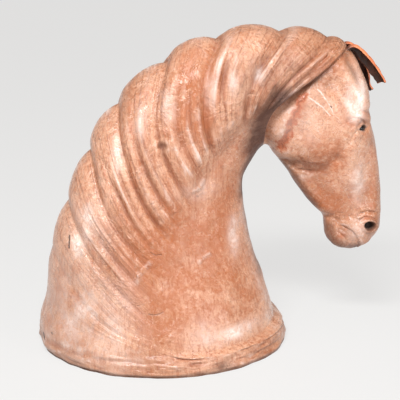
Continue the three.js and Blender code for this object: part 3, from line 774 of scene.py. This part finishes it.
def scattered(place, right):
    """Creases, seam, stains, painted shade and highlight, and the knot: their relief, and shares of rust
    with some painted shade, of pale with painted highlight, and of dark with painted shade.
    """
    height = np.zeros(right.shape)
    rust_and_shade, pale, dark = height.copy(), height.copy(), height.copy()
    ragged = 1 + 0.5 * mottle(place / 1.3, 21)
    flank = smooth(0.5, 3, np.abs(place[..., 1]))
    for line, reach, much in CREASES.values():
        height += flank * much * bell(line_gap(line, place), reach) * ragged
    seam = right * bell(line_gap(DRAWN_MARKS["seam"][1][0], place), 1.8)
    height -= 0.3 * seam * ragged
    rust_and_shade += 0.6 * seam * np.clip(ragged, 0, 1.3)
    cloud = right * np.clip(0.75 + 0.6 * mottle(place / 4.5, 22) + 0.35 * mottle(place / 1.7, 23), 0, 1.4)
    for painted, stains in ((rust_and_shade, RUST_STAINS_AND_SHADE), (pale, WEAR_AND_SHEEN_PLACES), (dark, DARK_STAINS_AND_SHADE)):
        for (x, z), (reach_x, reach_z), much in stains.values():
            away = np.hypot((place[..., 0] - x) / reach_x, (place[..., 2] - z) / reach_z)
            painted += much * cloud * np.exp(-away ** 2)
    knot = np.hypot((place[..., 0] - KNOT_PLACE[0]) / 1.25, place[..., 2] - KNOT_PLACE[1]) / KNOT_SIZE
    height += right * (0.3 * bell(knot - 0.9, 0.5) - 0.35 * bell(knot, 0.7))
    dark = np.maximum(dark, 0.5 * right * bell(knot - 0.2, 0.75))
    return height, rust_and_shade, pale, dark


def worked_leather(start, turn, place):
    """Relief that the leather adds to the carved form: lumps, dents and drawn wrinkles."""
    share = hang(sections_at(start)[..., 5], turn)
    mane = mane_present(start, share, place[..., 1])
    calm = 1 - 0.75 * mane
    face = smooth(10.9, 11.5, start)
    lumps = 0.42 * mottle(place / 13, 11) + 0.2 * mottle(place / 5.2, 12)
    dents = 0.1 * mottle(place / 2.3, 13)
    drawn = mottle(np.stack([np.degrees(turn) / 3.2, start * 1.3], -1), 14)
    drawn = drawn * np.clip(mottle(np.stack([np.degrees(turn) / 30, start * 0.8], -1), 15) + 0.45, 0, 1)
    throat = smooth(0.5, 0.75, share) * (1 - face)
    wrinkles = 0.16 * drawn * (0.35 + 0.65 * throat) * (1 - mane) * (1 - 0.95 * face)
    wrinkles *= smooth(0.8, 1.6, start)
    return calm * (lumps * (1 - 0.45 * face) + dents) + wrinkles


def rim_relief(place):
    """Lumps and folds of the foot rim, drawn in towards its bottom edge."""
    lumps = 0.5 * mottle(place / (5.0, 5.0, 3.0), 16) - 0.3
    folds = 0.4 * mottle(place / (6.0, 6.0, 0.9), 17) + 0.22 * mottle(place / (2.2, 2.2, 0.7), 18)
    return lumps + folds - 1.1 * (1 - smooth(0, 1.8, place[..., 2])) ** 2


def sheltered(place, start, share):
    """Share of painted shade, with some old wax, in the hollows of neck and face, and in the groove before
    the cheek.
    """
    shade = np.zeros(start.shape)
    cloudy = 0.95 + 0.25 * mottle(place / 3.5, 25)
    behind_face = 1 - smooth(LAST_LOCK - 0.3, LAST_LOCK, start)
    for shades, mask in ((NECK_SHADES, behind_face), (FACE_SHADES, 1 - behind_face)):
        for line, reach, much in shades.values():
            shade = np.maximum(shade, mask * much * bell(line_gap(line, place), reach) * cloudy)
    last_groove = np.exp(-((start - LAST_LOCK + 0.05) / 0.18) ** 2) * smooth(0.02, 0.3, share)
    last_groove *= mane_present(LAST_LOCK - 0.4, share, place[..., 1])
    return np.maximum(shade, 0.6 * last_groove)


def painted_marks(place, start, share, on_rim, rust_and_shade, pale, dark):
    """Shares that the hide's material reads at each point."""
    outward = grid_outward(place)
    fine = np.sum((blurred(place, 3) - place) * outward, axis=-1)
    broad = np.sum((blurred(place, 24) - place) * outward, axis=-1)
    mane = mane_present(start, share, place[..., 1])
    crest = mane * (1 - smooth(0.08, 0.3, share))
    grooves = np.clip(strand_grooves(start, share, place[..., 1], 0.55), 0, 1) * (mane - crest)
    sunk = 0.35 * np.clip(fine / 0.12, 0, 1) + 0.5 * np.clip(broad / 0.9, 0, 1)
    neck_hair = 0.25 * smooth(1.0, 4.0, start) * (1 - smooth(11.0, 11.4, start))
    cheek = smooth(11.2, 12.2, start) * (1 - smooth(15.5, 17, start))
    marks = {
        # hollow: the rim a little darker, and painted shade with some wax in the strand grooves and hollows
        "hollow": 0.25 * on_rim + 0.75 * grooves + sunk * (1 - 0.6 * crest),
        # raised: ridges, painted paler by the hide as painted highlight with some wear
        "raised": np.clip(-fine / 0.12, 0, 1) * 0.4 + np.clip(-broad / 0.8, 0, 1) * 0.6,
    }
    shares = {
        "shade": sheltered(place, start, share),
        "hair": mane * (0.55 + 0.45 * smooth(2.5, 5.5, start)) + neck_hair,
        "rust_and_shade": rust_and_shade,
        "pale": pale,
        # dark: also painted shade along the foot rim's bottom edge
        "dark": np.maximum(dark, 0.6 * on_rim * (1 - smooth(0.2, 1.5, place[..., 2]))),
        "veined": cheek + smooth(7.6, 8.6, start) * (1 - mane) + 0.25,
    }
    return marks | {label: np.clip(values, 0, 1) for label, values in shares.items()}


def hide_form(settings):
    """Points of the hide, its painted marks, and each point's section and share from crest to throat."""
    rows = crowded(0, LAST_SECTION, HIDE_ROWS, row_density)
    turns = crowded(-math.pi, math.pi, HIDE_COLUMNS + 1, turn_density)[:-1]
    start, turn = np.meshgrid(rows, turns, indexing="ij")
    place, outward = carved(start, turn, settings.strand_ridge / UNIT, settings.hair_ridge / UNIT)
    share = hang(sections_at(start)[..., 5], turn)
    at_foot = smooth(0, 0.12, start)

    top, _ = rim_top(turn, place)
    on_rim = (1 - smooth(top - 1.5, top + 1.0, place[..., 2])) * (start < 3)
    height = worked_leather(start, turn, place) + on_rim * rim_relief(place)
    place = place + outward * (height * np.maximum(at_foot, 0.6 * (start <= 0)))[..., None]

    outward = grid_outward(place)
    height, rust_and_shade, pale, dark = scattered(place, smooth(-1.0, 1.0, -place[..., 1]))
    place = place + outward * (height * at_foot)[..., None]
    place, pale = with_mouth(place, outward, pale)
    place, dark = with_nostrils(place, outward, dark)
    place, dark = with_eyes(place, dark)
    place[..., 2] = np.where(start <= 0, 0, np.maximum(place[..., 2], 0))

    # Pale along the rim's top crease: wear, with painted sheen
    crease = np.exp(-((place[..., 2] - top) / 1.5) ** 2) * (start < 3)
    pale = pale + crease * np.clip(0.9 * mottle(place / (4.0, 4.0, 2.2), 24), 0, 1)
    return place, painted_marks(place, start, share, on_rim, rust_and_shade, pale, dark), start, share


def with_base(place, marks, start, share):
    """Adds rings across the flat underside before the first row."""
    middle = place[0].mean(axis=0)
    rings = [middle + (place[0] - middle) * scale for scale in BASE_RINGS]
    lead = np.zeros((len(BASE_RINGS),) + start.shape[1:])
    marks = {label: np.concatenate([lead + (BASE_DARK if label in ("hollow", "dark") else 0), values])
             for label, values in marks.items()}
    return (np.concatenate([rings, place]), marks,
            np.concatenate([lead, start]), np.concatenate([lead, share]))


def crumple_tree():
    """Presses dimples of a given width and depth into a leather mesh, along its normals."""
    tree = bpy.data.node_groups.new("leather_crumple", "GeometryNodeTree")
    tree.interface.new_socket("Geometry", in_out="INPUT", socket_type="NodeSocketGeometry")
    for label, kind in (("Pebble width", "Float"), ("Crumple depth", "Float"), ("Seed", "Int"),
                        ("Material", "Material")):
        tree.interface.new_socket(label, in_out="INPUT", socket_type="NodeSocket" + kind)
    tree.interface.new_socket("Geometry", in_out="OUTPUT", socket_type="NodeSocketGeometry")

    def maths(kind, first, second):
        return add_node(tree, "ShaderNodeMath", {0: first, 1: second}, operation=kind).outputs[0]

    given = add_node(tree, "NodeGroupInput").outputs
    place = add_node(tree, "GeometryNodeInputPosition").outputs[0]
    dimples = add_node(tree, "ShaderNodeTexNoise", {
        "Vector": place, "W": given["Seed"], "Scale": maths("DIVIDE", 1.0, given["Pebble width"]),
        "Detail": 2.0}, noise_dimensions="4D").outputs[0]
    deep = maths("MULTIPLY", maths("SUBTRACT", dimples, 0.5), given["Crumple depth"])
    level = add_node(tree, "ShaderNodeSeparateXYZ", {"Vector": place}).outputs["Z"]
    kept = maths("MULTIPLY", deep, maths("GREATER_THAN", level, FLAT_FOOT))
    offset = add_node(tree, "ShaderNodeVectorMath", {
        0: add_node(tree, "GeometryNodeInputNormal").outputs[0], "Scale": kept}, operation="SCALE")
    moved = add_node(tree, "GeometryNodeSetPosition", {
        "Geometry": given["Geometry"], "Offset": offset.outputs[0]})
    real = add_node(tree, "GeometryNodeRealizeInstances", {"Geometry": moved.outputs[0]})
    dyed = add_node(tree, "GeometryNodeSetMaterial", {
        "Geometry": real.outputs[0], "Material": given["Material"]})
    add_node(tree, "NodeGroupOutput", {"Geometry": dyed.outputs[0]})
    return tree


def crumpled(piece, pebble, depth, seed, material):
    """Runs the crumple tree on a piece and keeps the result as its plain mesh."""
    tree = bpy.data.node_groups.get("leather_crumple") or crumple_tree()
    modifier = piece.modifiers.new("Crumple", "NODES")
    modifier.node_group = tree
    values = {"Pebble width": pebble, "Crumple depth": depth, "Seed": seed, "Material": material}
    for socket in tree.interface.items_tree:
        if socket.item_type == "SOCKET" and socket.in_out == "INPUT" and socket.name in values:
            modifier[socket.identifier] = values[socket.name]
    bpy.context.view_layer.update()
    result = bpy.data.meshes.new_from_object(
        piece.evaluated_get(bpy.context.evaluated_depsgraph_get()))
    piece.modifiers.remove(modifier)
    piece.data = result
    result.shade_smooth()


def mark_group():
    """Mask of a short line in the side view, for marks finer than the mesh."""
    tree = bpy.data.node_groups.get("drawn_mark")
    if tree:
        return tree
    tree = bpy.data.node_groups.new("drawn_mark", "ShaderNodeTree")
    for label, kind in (("Place", "Vector"), ("Start", "Vector"), ("End", "Vector"), ("Reach", "Float")):
        tree.interface.new_socket(label, in_out="INPUT", socket_type="NodeSocket" + kind)
    tree.interface.new_socket("Mask", in_out="OUTPUT", socket_type="NodeSocketFloat")
    given = add_node(tree, "NodeGroupInput").outputs

    def vector(kind, first, second, output=0):
        return add_node(tree, "ShaderNodeVectorMath", {0: first, 1: second}, operation=kind).outputs[output]

    run = vector("SUBTRACT", given["End"], given["Start"])
    away = vector("SUBTRACT", given["Place"], given["Start"])
    along = add_node(tree, "ShaderNodeMath", {
        0: vector("DOT_PRODUCT", away, run, "Value"), 1: vector("DOT_PRODUCT", run, run, "Value")},
        operation="DIVIDE", use_clamp=True).outputs[0]
    on_line = add_node(tree, "ShaderNodeVectorMath", {0: run, "Scale": along}, operation="SCALE").outputs[0]
    gap = vector("DISTANCE", away, on_line, "Value")
    mask = add_node(tree, "ShaderNodeMapRange", {
        "Value": gap, "From Min": given["Reach"], "From Max": 0.0}, interpolation_type="SMOOTHSTEP")
    add_node(tree, "NodeGroupOutput", {"Mask": mask.outputs["Result"]})
    return tree


def drawn_marks(paint, kind, place, right):
    """One mask for all the marks of a kind."""
    reach, lines = DRAWN_MARKS[kind]
    total = None
    for line in lines:
        for start, end in zip(line, line[1:]):
            mask = add_node(paint.tree, "ShaderNodeGroup", node_tree=mark_group())
            paint.tree.links.new(place, mask.inputs["Place"])
            mask.inputs["Start"].default_value = (start[0] * UNIT, 0, start[1] * UNIT)
            mask.inputs["End"].default_value = (end[0] * UNIT, 0, end[1] * UNIT)
            mask.inputs["Reach"].default_value = reach * UNIT
            mask = mask.outputs[0]
            total = paint.maths("MAXIMUM", total, mask) if total else mask
    return paint.times(total, right)


class HidePaint(Paint):
    """Leather of the hide: fields and marks that its layers share, then the layers from the ground up."""

    def __init__(self, look):
        super().__init__("tanned_hide", look.tan)
        self.look = look
        self.clouds = self.noise(6, 3, 0.55, 0.4)
        self.blotches = self.noise(22, 6, 0.62, 1.2)
        self.patches = self.noise(38, 5, 0.6, 1.6)
        self.flecks = self.noise(130, 4, 0.62, 0.8)
        self.pores = self.noise(420, 3, 0.6)
        self.drips = self.noise(1.0, 5, 0.65, 0.6, self.stretched((210, 210, 13)))
        self.streaks = self.noise(1.0, 4, 0.6, 0.3, self.along_locks((7.5, 1.6, 1)))
        self.hairs = self.noise(1.0, 3, 0.6, 0.2, self.along_locks((20, 1.4, 1)))
        self.hair = self.times(self.attribute("hair"), self.ranged(self.blotches, 0.36, 0.6, 0.35, 1.0))
        self.veined, self.hollow, self.raised, self.rust_and_shade, self.pale, self.dark = (
            self.attribute(label) for label in ("veined", "hollow", "raised", "rust_and_shade", "pale", "dark"))

        torn = self.pushed(170.0, 3.0, 0.0035)
        frayed = self.vector("SUBTRACT", self.pushed(90.0, 5.0, 0.03), (0.014, 0.0, 0.014))
        torn, frayed = (self.vector("MULTIPLY", moved, (1.0, 0.0, 1.0)) for moved in (torn, frayed))
        sides = add_node(self.tree, "ShaderNodeSeparateXYZ", {"Vector": self.place}).outputs["Y"]
        right = self.ranged(sides, 0.0, -0.012)
        self.seam, self.scratch, self.slit, self.nick, self.scar = (
            drawn_marks(self, kind, frayed if kind == "seam" else torn, right) for kind in DRAWN_MARKS)

    def ground(self):
        """Clouds and patches, streaks down the neck and along the locks, and marbling."""
        look = self.look
        self.lay(look.peach, self.ranged(self.clouds, 0.4, 0.58, 0.2, 1.0))
        self.lay(look.pink, self.ranged(self.patches, 0.5, 0.68, 0.0, 0.5))
        self.lay(look.rust_and_shade, self.ranged(self.blotches, 0.47, 0.66, 0.0, 0.4))
        self.streaked = self.maths("SUBTRACT", 1.0, self.veined, True)
        self.lay(look.rust_and_shade, self.ranged(self.drips, 0.48, 0.62, 0.0, 0.85), self.streaked)
        self.lay(look.peach, self.ranged(self.drips, 0.47, 0.34, 0.0, 0.6), self.streaked)
        self.lay(look.rust_and_shade, self.ranged(self.streaks, 0.45, 0.66), self.hair, 0.6)
        self.lay(look.groove, self.ranged(self.hairs, 0.52, 0.64), self.hair, 0.75)
        self.lay(look.peach, self.ranged(self.hairs, 0.46, 0.34), self.hair, 0.4)
        self.lay(look.raw, self.line_at(self.noise(48, 4, 0.6, 2.4), 0.5, 0.045), self.veined, 0.55)
        self.lay(look.scuff_and_sheen, self.line_at(self.patches, 0.46, 0.02), self.veined, 0.4)

    def grain(self):
        """Flecks and pores, heights painted pale as highlight and wear, painted shade with wax in the
        hollows, rust with some painted shade, and painted shade with old wax.
        """
        look, flecks = self.look, self.flecks
        self.lay(look.groove, self.ranged(flecks, 0.54, 0.66, 0.0, 0.42))
        self.lay(look.peach, self.ranged(flecks, 0.44, 0.32, 0.0, 0.7))
        self.lay(look.groove, self.ranged(self.pores, 0.6, 0.72, 0.0, 0.22))
        self.lay(look.groove, self.ranged(self.drips, 0.54, 0.66), self.times(self.rust_and_shade, self.streaked), 0.5)
        # Ridges painted paler, the locks' ridges near white: painted highlight, with some wear
        self.lay(look.peach, self.raised, 0.45)
        lined = self.times(self.ranged(self.streaks, 0.42, 0.6), self.attribute("hair"))
        lined = self.maths("MAXIMUM", lined, self.ranged(self.patches, 0.46, 0.62, 0.0, 0.6))
        self.lay(look.scuff_and_sheen, self.ranged(self.raised, 0.2, 0.8), lined, 0.8)
        # Painted shade, with some wax, in the grooves and hollows
        sunk = self.maths("MULTIPLY", self.hollow, self.ranged(flecks, 0.3, 0.7, 0.7, 1.0), True)
        self.lay(look.groove, sunk, 0.85)
        # Rust stains, and painted shade over the eye, in the nape and ear hollows, under the last lock and
        # at the mouth's corner
        self.lay(look.rust_and_shade, self.rust_and_shade, self.ranged(flecks, 0.34, 0.58, 0.5, 1.0), 0.8)
        # Painted shade, with some old wax, behind the cheek, under the jaw, round eye, nostrils and mouth
        self.shade = self.times(self.attribute("shade"), self.ranged(flecks, 0.3, 0.6, 0.85, 0.95))
        self.lay(look.shadow, self.shade)

    def wounds(self):
        """Seam, scars, nicks and scratches, rubbed places with painted highlight, dirt with painted shade,
        and slits.
        """
        look, flecks = self.look, self.flecks
        self.lay(look.raw, self.ranged(self.seam, 0.1, 0.6), self.ranged(flecks, 0.35, 0.6, 0.5, 1.0))
        self.lay(look.groove, self.ranged(self.seam, 0.8, 0.97, 0.0, 0.55), self.ranged(flecks, 0.42, 0.52))
        self.lay(look.scuff_and_sheen, self.scar, self.ranged(flecks, 0.4, 0.6, 0.0, 0.3))
        self.lay(look.shadow, self.nick, 0.42)
        self.lay(look.scuff_and_sheen, self.scratch, self.ranged(flecks, 0.38, 0.56, 0.2, 0.75))
        # Rubbed places, and painted highlight and sheen, from the pale share
        self.lay(look.scuff_and_sheen, self.pale, self.ranged(flecks, 0.36, 0.56, 0.45, 1.0), 0.85)
        # Dirt and stains, painted shade in nostrils, hollows and along the foot's bottom edge, and the slits
        dirt_and_shade = self.times(self.dark, self.ranged(self.blotches, 0.2, 0.7, 0.8, 1.0))
        self.lay(look.grime_and_shade, self.maths("MAXIMUM", dirt_and_shade, self.times(self.slit, 0.9)))

    def roughness(self):
        """Waxed leather, duller in hollows, dirt and painted shade."""
        waxed = self.ranged(self.blotches, 0.3, 0.7, 0.2, 0.38)
        dull = self.maths("ADD", self.times(self.hollow, 0.2), self.times(self.dark, 0.4))
        dull = self.maths("ADD", dull, self.times(self.shade, 0.3))
        return self.maths("ADD", waxed, dull, True)

    def relief(self):
        self.bump(self.pores, 0.0005, 0.6)
        self.bump(self.times(self.hairs, self.hair), 0.0022, 0.8)
        self.bump(self.times(self.streaks, self.hair), 0.0035, 0.7)
        self.bump(self.flecks, 0.002, 0.6)
        self.bump(self.times(self.drips, self.streaked), 0.0018, 0.5)
        cut = self.maths("ADD", self.slit, self.times(self.nick, 0.5))
        cut = self.maths("ADD", cut, self.times(self.seam, 0.4))
        self.bump(self.maths("SUBTRACT", cut, self.scar), -0.0014, 0.9)


def hide_leather(look):
    paint = HidePaint(look)
    paint.ground()
    paint.grain()
    paint.wounds()
    roughness = paint.roughness()
    paint.relief()
    return paint.finish(roughness, Specular_IOR_Level=0.6, Coat_Weight=0.1, Coat_Roughness=0.26)


class HORSE_OT_hide(bpy.types.Operator):
    """Draw the leather of the head and neck over the carved form"""

    bl_idname = "horse_head.hide"
    bl_label = "Leather of head and neck"

    def execute(self, context):
        settings = context.scene.horse_hide
        place, marks, start, share = with_base(*hide_form(settings))
        rows, count = start.shape
        ends = np.stack([place[0].mean(axis=0), place[-1].mean(axis=0)])
        verts = np.concatenate([place.reshape(-1, 3), ends]) * UNIT
        ended = {label: np.append(values.ravel(), (values[0].mean(), values[-1].mean()))
                 for label, values in marks.items()}
        along = np.append(start.ravel(), (0, LAST_SECTION)), np.append(share.ravel(), (0.5, 0.5))
        hide = mesh_object("horse_hide", verts, ring_faces(rows, count), None, ended, np.stack(along, -1))
        crumpled(hide, settings.pebble, settings.crumple, settings.seed, hide_leather(settings))
        finished(hide, "head_and_neck")
        return {"FINISHED"}


# Ears

def ear_root(side):
    place, _ = carved(np.array([EAR_STATION]), np.array([side * EAR_TURN]))
    return place[0] * UNIT


def ear_ring(spine, way, share, pose, settings):
    """Points round a curved strip at one share of the ear: its outer face, then back along its inner."""
    side = pose["side"]
    level = unit_vectors(np.cross((0, 0, 1), way))
    up = np.cross(way, level)
    roll = math.radians(pose["roll"]) * -side
    back = up * math.cos(roll) + level * math.sin(roll)
    across = np.cross(back, way)
    width = settings.root_width + (settings.width - settings.root_width) * smooth(0, 0.45, share)
    width = width * (1 + (pose["tip"] - 1) * smooth(0.6, 1, share))
    width *= 1 + 0.05 * math.sin(19 * share + side) + 0.03 * math.sin(43 * share)
    curl = math.radians(EAR_CURL[0] + (EAR_CURL[1] - EAR_CURL[0]) * share)
    radius = width / (2 * curl)
    torn = 1 if side == RIGHT else 0.3
    ring = []
    for face in (1, -1):
        for step in range(EAR_ARC + 1):
            swing = 2 * step / EAR_ARC - 1
            edge = math.sqrt(max(0.0, 1 - abs(swing) ** 6))
            half = settings.thickness / 2 * (0.35 + 0.65 * edge)
            angle = face * curl * swing
            reach = radius + face * half
            ripple = 0.0005 * math.sin(31 * share + 5 * swing) * smooth(0.1, 0.4, share)
            jag = 0.0015 * math.sin(7 * swing + 2) * smooth(0.93, 1, share) * torn
            ring.append(spine + across * reach * math.sin(angle) + way * jag
                        + back * (reach * math.cos(angle) - radius + ripple))
    return ring


def ear_rings(pose, settings):
    """Rings along the ear, and how far along it each one is."""
    shares, pitches = zip(*pose["pitch"])
    free = settings.length * pose["length"]
    total = free + settings.root_depth

    def direction(share):
        pitch = math.radians(float(np.interp(share, shares, pitches)))
        splay = math.radians(pose["splay"]) * pose["side"]
        level = math.cos(pitch)
        return np.array((level * math.cos(splay), level * math.sin(splay), math.sin(pitch)))

    spine = ear_root(pose["side"]) - direction(0) * settings.root_depth
    places, along = [], []
    for step in range(EAR_STEPS + 1):
        share = (total * step / EAR_STEPS - settings.root_depth) / free
        if step > 0:
            spine = spine + direction(share - total / EAR_STEPS / free / 2) * total / EAR_STEPS
        share = min(max(share, 0.0), 1.0)
        places.append(ear_ring(spine, direction(share), share, pose, settings))
        along.append(share)
    return np.array(places), along


def ear_leather(look):
    paint = Paint("ear_leather", look.outside)
    blotches = paint.noise(60, 4, 0.6, 0.5)
    flecks = paint.noise(260, 4, 0.6)
    inner, along = paint.attribute("inner"), paint.attribute("along")
    paint.lay(look.outside_blotch, paint.ranged(blotches, 0.4, 0.7))
    paint.lay(bpy.context.scene.horse_hide.groove, paint.ranged(flecks, 0.5, 0.75), 0.35)
    paint.lay(look.inside, paint.ranged(along, 0.0, 0.16, 0.92, 0.0))
    paint.lay(paint.mix(paint.ranged(blotches, 0.35, 0.75), look.inside, look.inside_blotch), inner)
    roughness = paint.ranged(blotches, 0.3, 0.7, 0.42, 0.6)
    paint.bump(paint.cracks(700), 0.0003, 0.5)
    paint.bump(flecks, 0.0008, 0.6)
    return paint.finish(roughness, Specular_IOR_Level=0.45)


class HORSE_OT_ears(bpy.types.Operator):
    """Roll the two leather ears and set them in the poll"""

    bl_idname = "horse_head.ears"
    bl_label = "Ears"

    def execute(self, context):
        settings = context.scene.horse_ears
        material = ear_leather(settings)
        for node, pose in EAR_POSES.items():
            places, along = ear_rings(pose, settings)
            rows, count = places.shape[:2]
            ends = np.stack([places[0].mean(axis=0), places[-1].mean(axis=0)])
            inner = np.tile(np.repeat((0.0, 1.0), count // 2), rows)
            along = np.repeat(along, count)
            marks = {"inner": np.append(inner, (1, 0.5)), "along": np.append(along, (0, 1))}
            verts = np.concatenate([places.reshape(-1, 3), ends])
            ear = mesh_object(node + "_leather", verts, ring_faces(rows, count), None, marks)
            crumpled(ear, EAR_PEBBLE, EAR_CRUMPLE, context.scene.horse_hide.seed, material)
            finished(ear, node)
        return {"FINISHED"}


# Eyes

def eye_glass(look):
    paint = Paint("eye_glass", look.glass)
    veil = paint.noise(300, 3)
    off_axis = paint.attribute("off_axis")
    iris = paint.mix(paint.ranged(veil, 0.35, 0.65), look.iris, look.glass)
    paint.lay(iris, paint.ranged(off_axis, 0.3, 0.36))
    paint.lay(look.glass, paint.ranged(off_axis, 0.62, 0.72))
    return paint.finish(paint.ranged(paint.noise(900, 2), 0.3, 0.8, 0.12, 0.24), Specular_IOR_Level=0.5)


class HORSE_OT_eyes(bpy.types.Operator):
    """Turn the two glass eyes, each with a slightly bulging front"""

    bl_idname = "horse_head.eyes"
    bl_label = "Glass eyes"

    def execute(self, context):
        material = eye_glass(context.scene.horse_eyes)
        angles = np.linspace(math.pi, 0, EYE_RINGS + 2)[1:-1]
        around = -np.arange(EYE_SPOKES)[:, None] / EYE_SPOKES * 2 * math.pi
        for node, side in (("eye_right", RIGHT), ("eye_left", LEFT)):
            low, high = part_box(node)
            centre, radius = np.array((low + high) / 2), max(high - low) / 2
            axis = unit_vectors(np.array(EYE_AXIS) * (1, side, 1))
            wide = unit_vectors(np.cross((0, 0, 1), axis))
            spokes = np.cos(around) * wide + np.sin(around) * np.cross(axis, wide)
            reach = radius * EYE_SHARE * (1 + EYE_BULGE * bell(angles, 0.7))
            places = (centre + (reach * np.cos(angles))[:, None, None] * axis
                      + (reach * np.sin(angles))[:, None, None] * spokes)
            ends = np.stack([centre - axis * radius * EYE_SHARE, centre + axis * radius])
            marks = {"off_axis": np.append(np.repeat(angles, EYE_SPOKES), (math.pi, 0))}
            verts = np.concatenate([places.reshape(-1, 3), ends])
            faces = ring_faces(EYE_RINGS, EYE_SPOKES)
            eye = mesh_object(node + "_glass", verts, faces, material, marks)
            finished(eye, node)
        return {"FINISHED"}


# Studio

def aimed(lamp, place, aim):
    lamp.location = place
    lamp.rotation_euler = (Vector(aim) - Vector(place)).to_track_quat("-Z", "Y").to_euler()
    bpy.context.scene.collection.objects.link(lamp)


def soft_light(name, place, aim, wide, tall, power):
    light = bpy.data.lights.new(name, "AREA")
    light.shape, light.size, light.size_y, light.energy = "RECTANGLE", wide, tall, power
    aimed(bpy.data.objects.new(name, light), place, aim)


def lay_floor(look):
    paint = Paint("studio_floor", look.floor)
    paint.lay(look.floor_cloud, paint.ranged(paint.noise(0.8), 0.4, 0.6, 0.0, 0.1))
    paint.finish(0.8, Specular_IOR_Level=0.2, Emission_Color=look.air, Emission_Strength=look.floor_glow)
    around = np.arange(FLOOR_CORNERS) / FLOOR_CORNERS * 2 * math.pi
    verts = np.stack([FLOOR_RADIUS * np.cos(around), FLOOR_RADIUS * np.sin(around), 0 * around], -1)
    floor = mesh_object("studio_floor", verts, [tuple(range(FLOOR_CORNERS))], paint.material)


def set_lights(look):
    world = bpy.data.worlds.new("studio_air")
    world.use_nodes = True
    background = world.node_tree.nodes["Background"].inputs
    background["Color"].default_value = look.air
    background["Strength"].default_value = look.air_strength
    bpy.context.scene.world = world
    soft_light("key_light", *KEY_LIGHT, look.key)
    soft_light("side_light", *SIDE_LIGHT, look.fill)
    daylight = bpy.data.lights.new("daylight", "SUN")
    daylight.energy, daylight.angle = look.daylight, DAYLIGHT_SPREAD
    aimed(bpy.data.objects.new("daylight", daylight), DAYLIGHT_PLACE, (0, 0, 0))


def set_camera(look):
    level = math.cos(look.rise)
    back = Vector((math.sin(look.turn) * level, -math.cos(look.turn) * level, math.sin(look.rise)))
    camera = bpy.data.objects.new("studio_camera", bpy.data.cameras.new("studio_camera"))
    camera.data.lens, camera.data.sensor_width = look.lens, SENSOR_WIDTH
    camera.matrix_world = Matrix.Translation(CAMERA_AIM + back * look.distance) @ (
        (-back).to_track_quat("-Z", "Y").to_matrix().to_4x4())
    bpy.context.scene.collection.objects.link(camera)
    bpy.context.scene.camera = camera


class HORSE_OT_studio(bpy.types.Operator):
    """Lay the pale floor and set the lights and the camera"""

    bl_idname = "horse_head.studio"
    bl_label = "Studio"

    def execute(self, context):
        look = context.scene.horse_stage
        lay_floor(look)
        set_lights(look)
        set_camera(look)
        context.scene.view_settings.view_transform = "Standard"
        return {"FINISHED"}


OPERATORS = (HORSE_OT_hide, HORSE_OT_ears, HORSE_OT_eyes, HORSE_OT_studio)


class HORSE_PT_panel(bpy.types.Panel):
    """Lists the makers of the horse head"""

    bl_idname = "HORSE_PT_panel"
    bl_label = "Horse head"
    bl_space_type = "VIEW_3D"
    bl_region_type = "UI"
    bl_category = "Horse head"

    def draw(self, context):
        for operator in OPERATORS:
            self.layout.operator(operator.bl_idname)


SETTINGS = {
    "horse_hide": HideSettings,
    "horse_ears": EarSettings,
    "horse_eyes": EyeSettings,
    "horse_stage": StageSettings,
}


def register():
    for group in (*SETTINGS.values(), *OPERATORS, HORSE_PT_panel):
        bpy.utils.register_class(group)
    for label, group in SETTINGS.items():
        setattr(bpy.types.Scene, label, bpy.props.PointerProperty(type=group))


def unregister():
    for label in SETTINGS:
        delattr(bpy.types.Scene, label)
    for group in reversed((*SETTINGS.values(), *OPERATORS, HORSE_PT_panel)):
        bpy.utils.unregister_class(group)


def main():
    register()
    bpy.ops.horse_head.hide()
    bpy.ops.horse_head.ears()
    bpy.ops.horse_head.eyes()
    bpy.ops.horse_head.studio()


if __name__ == "__main__":
    main()
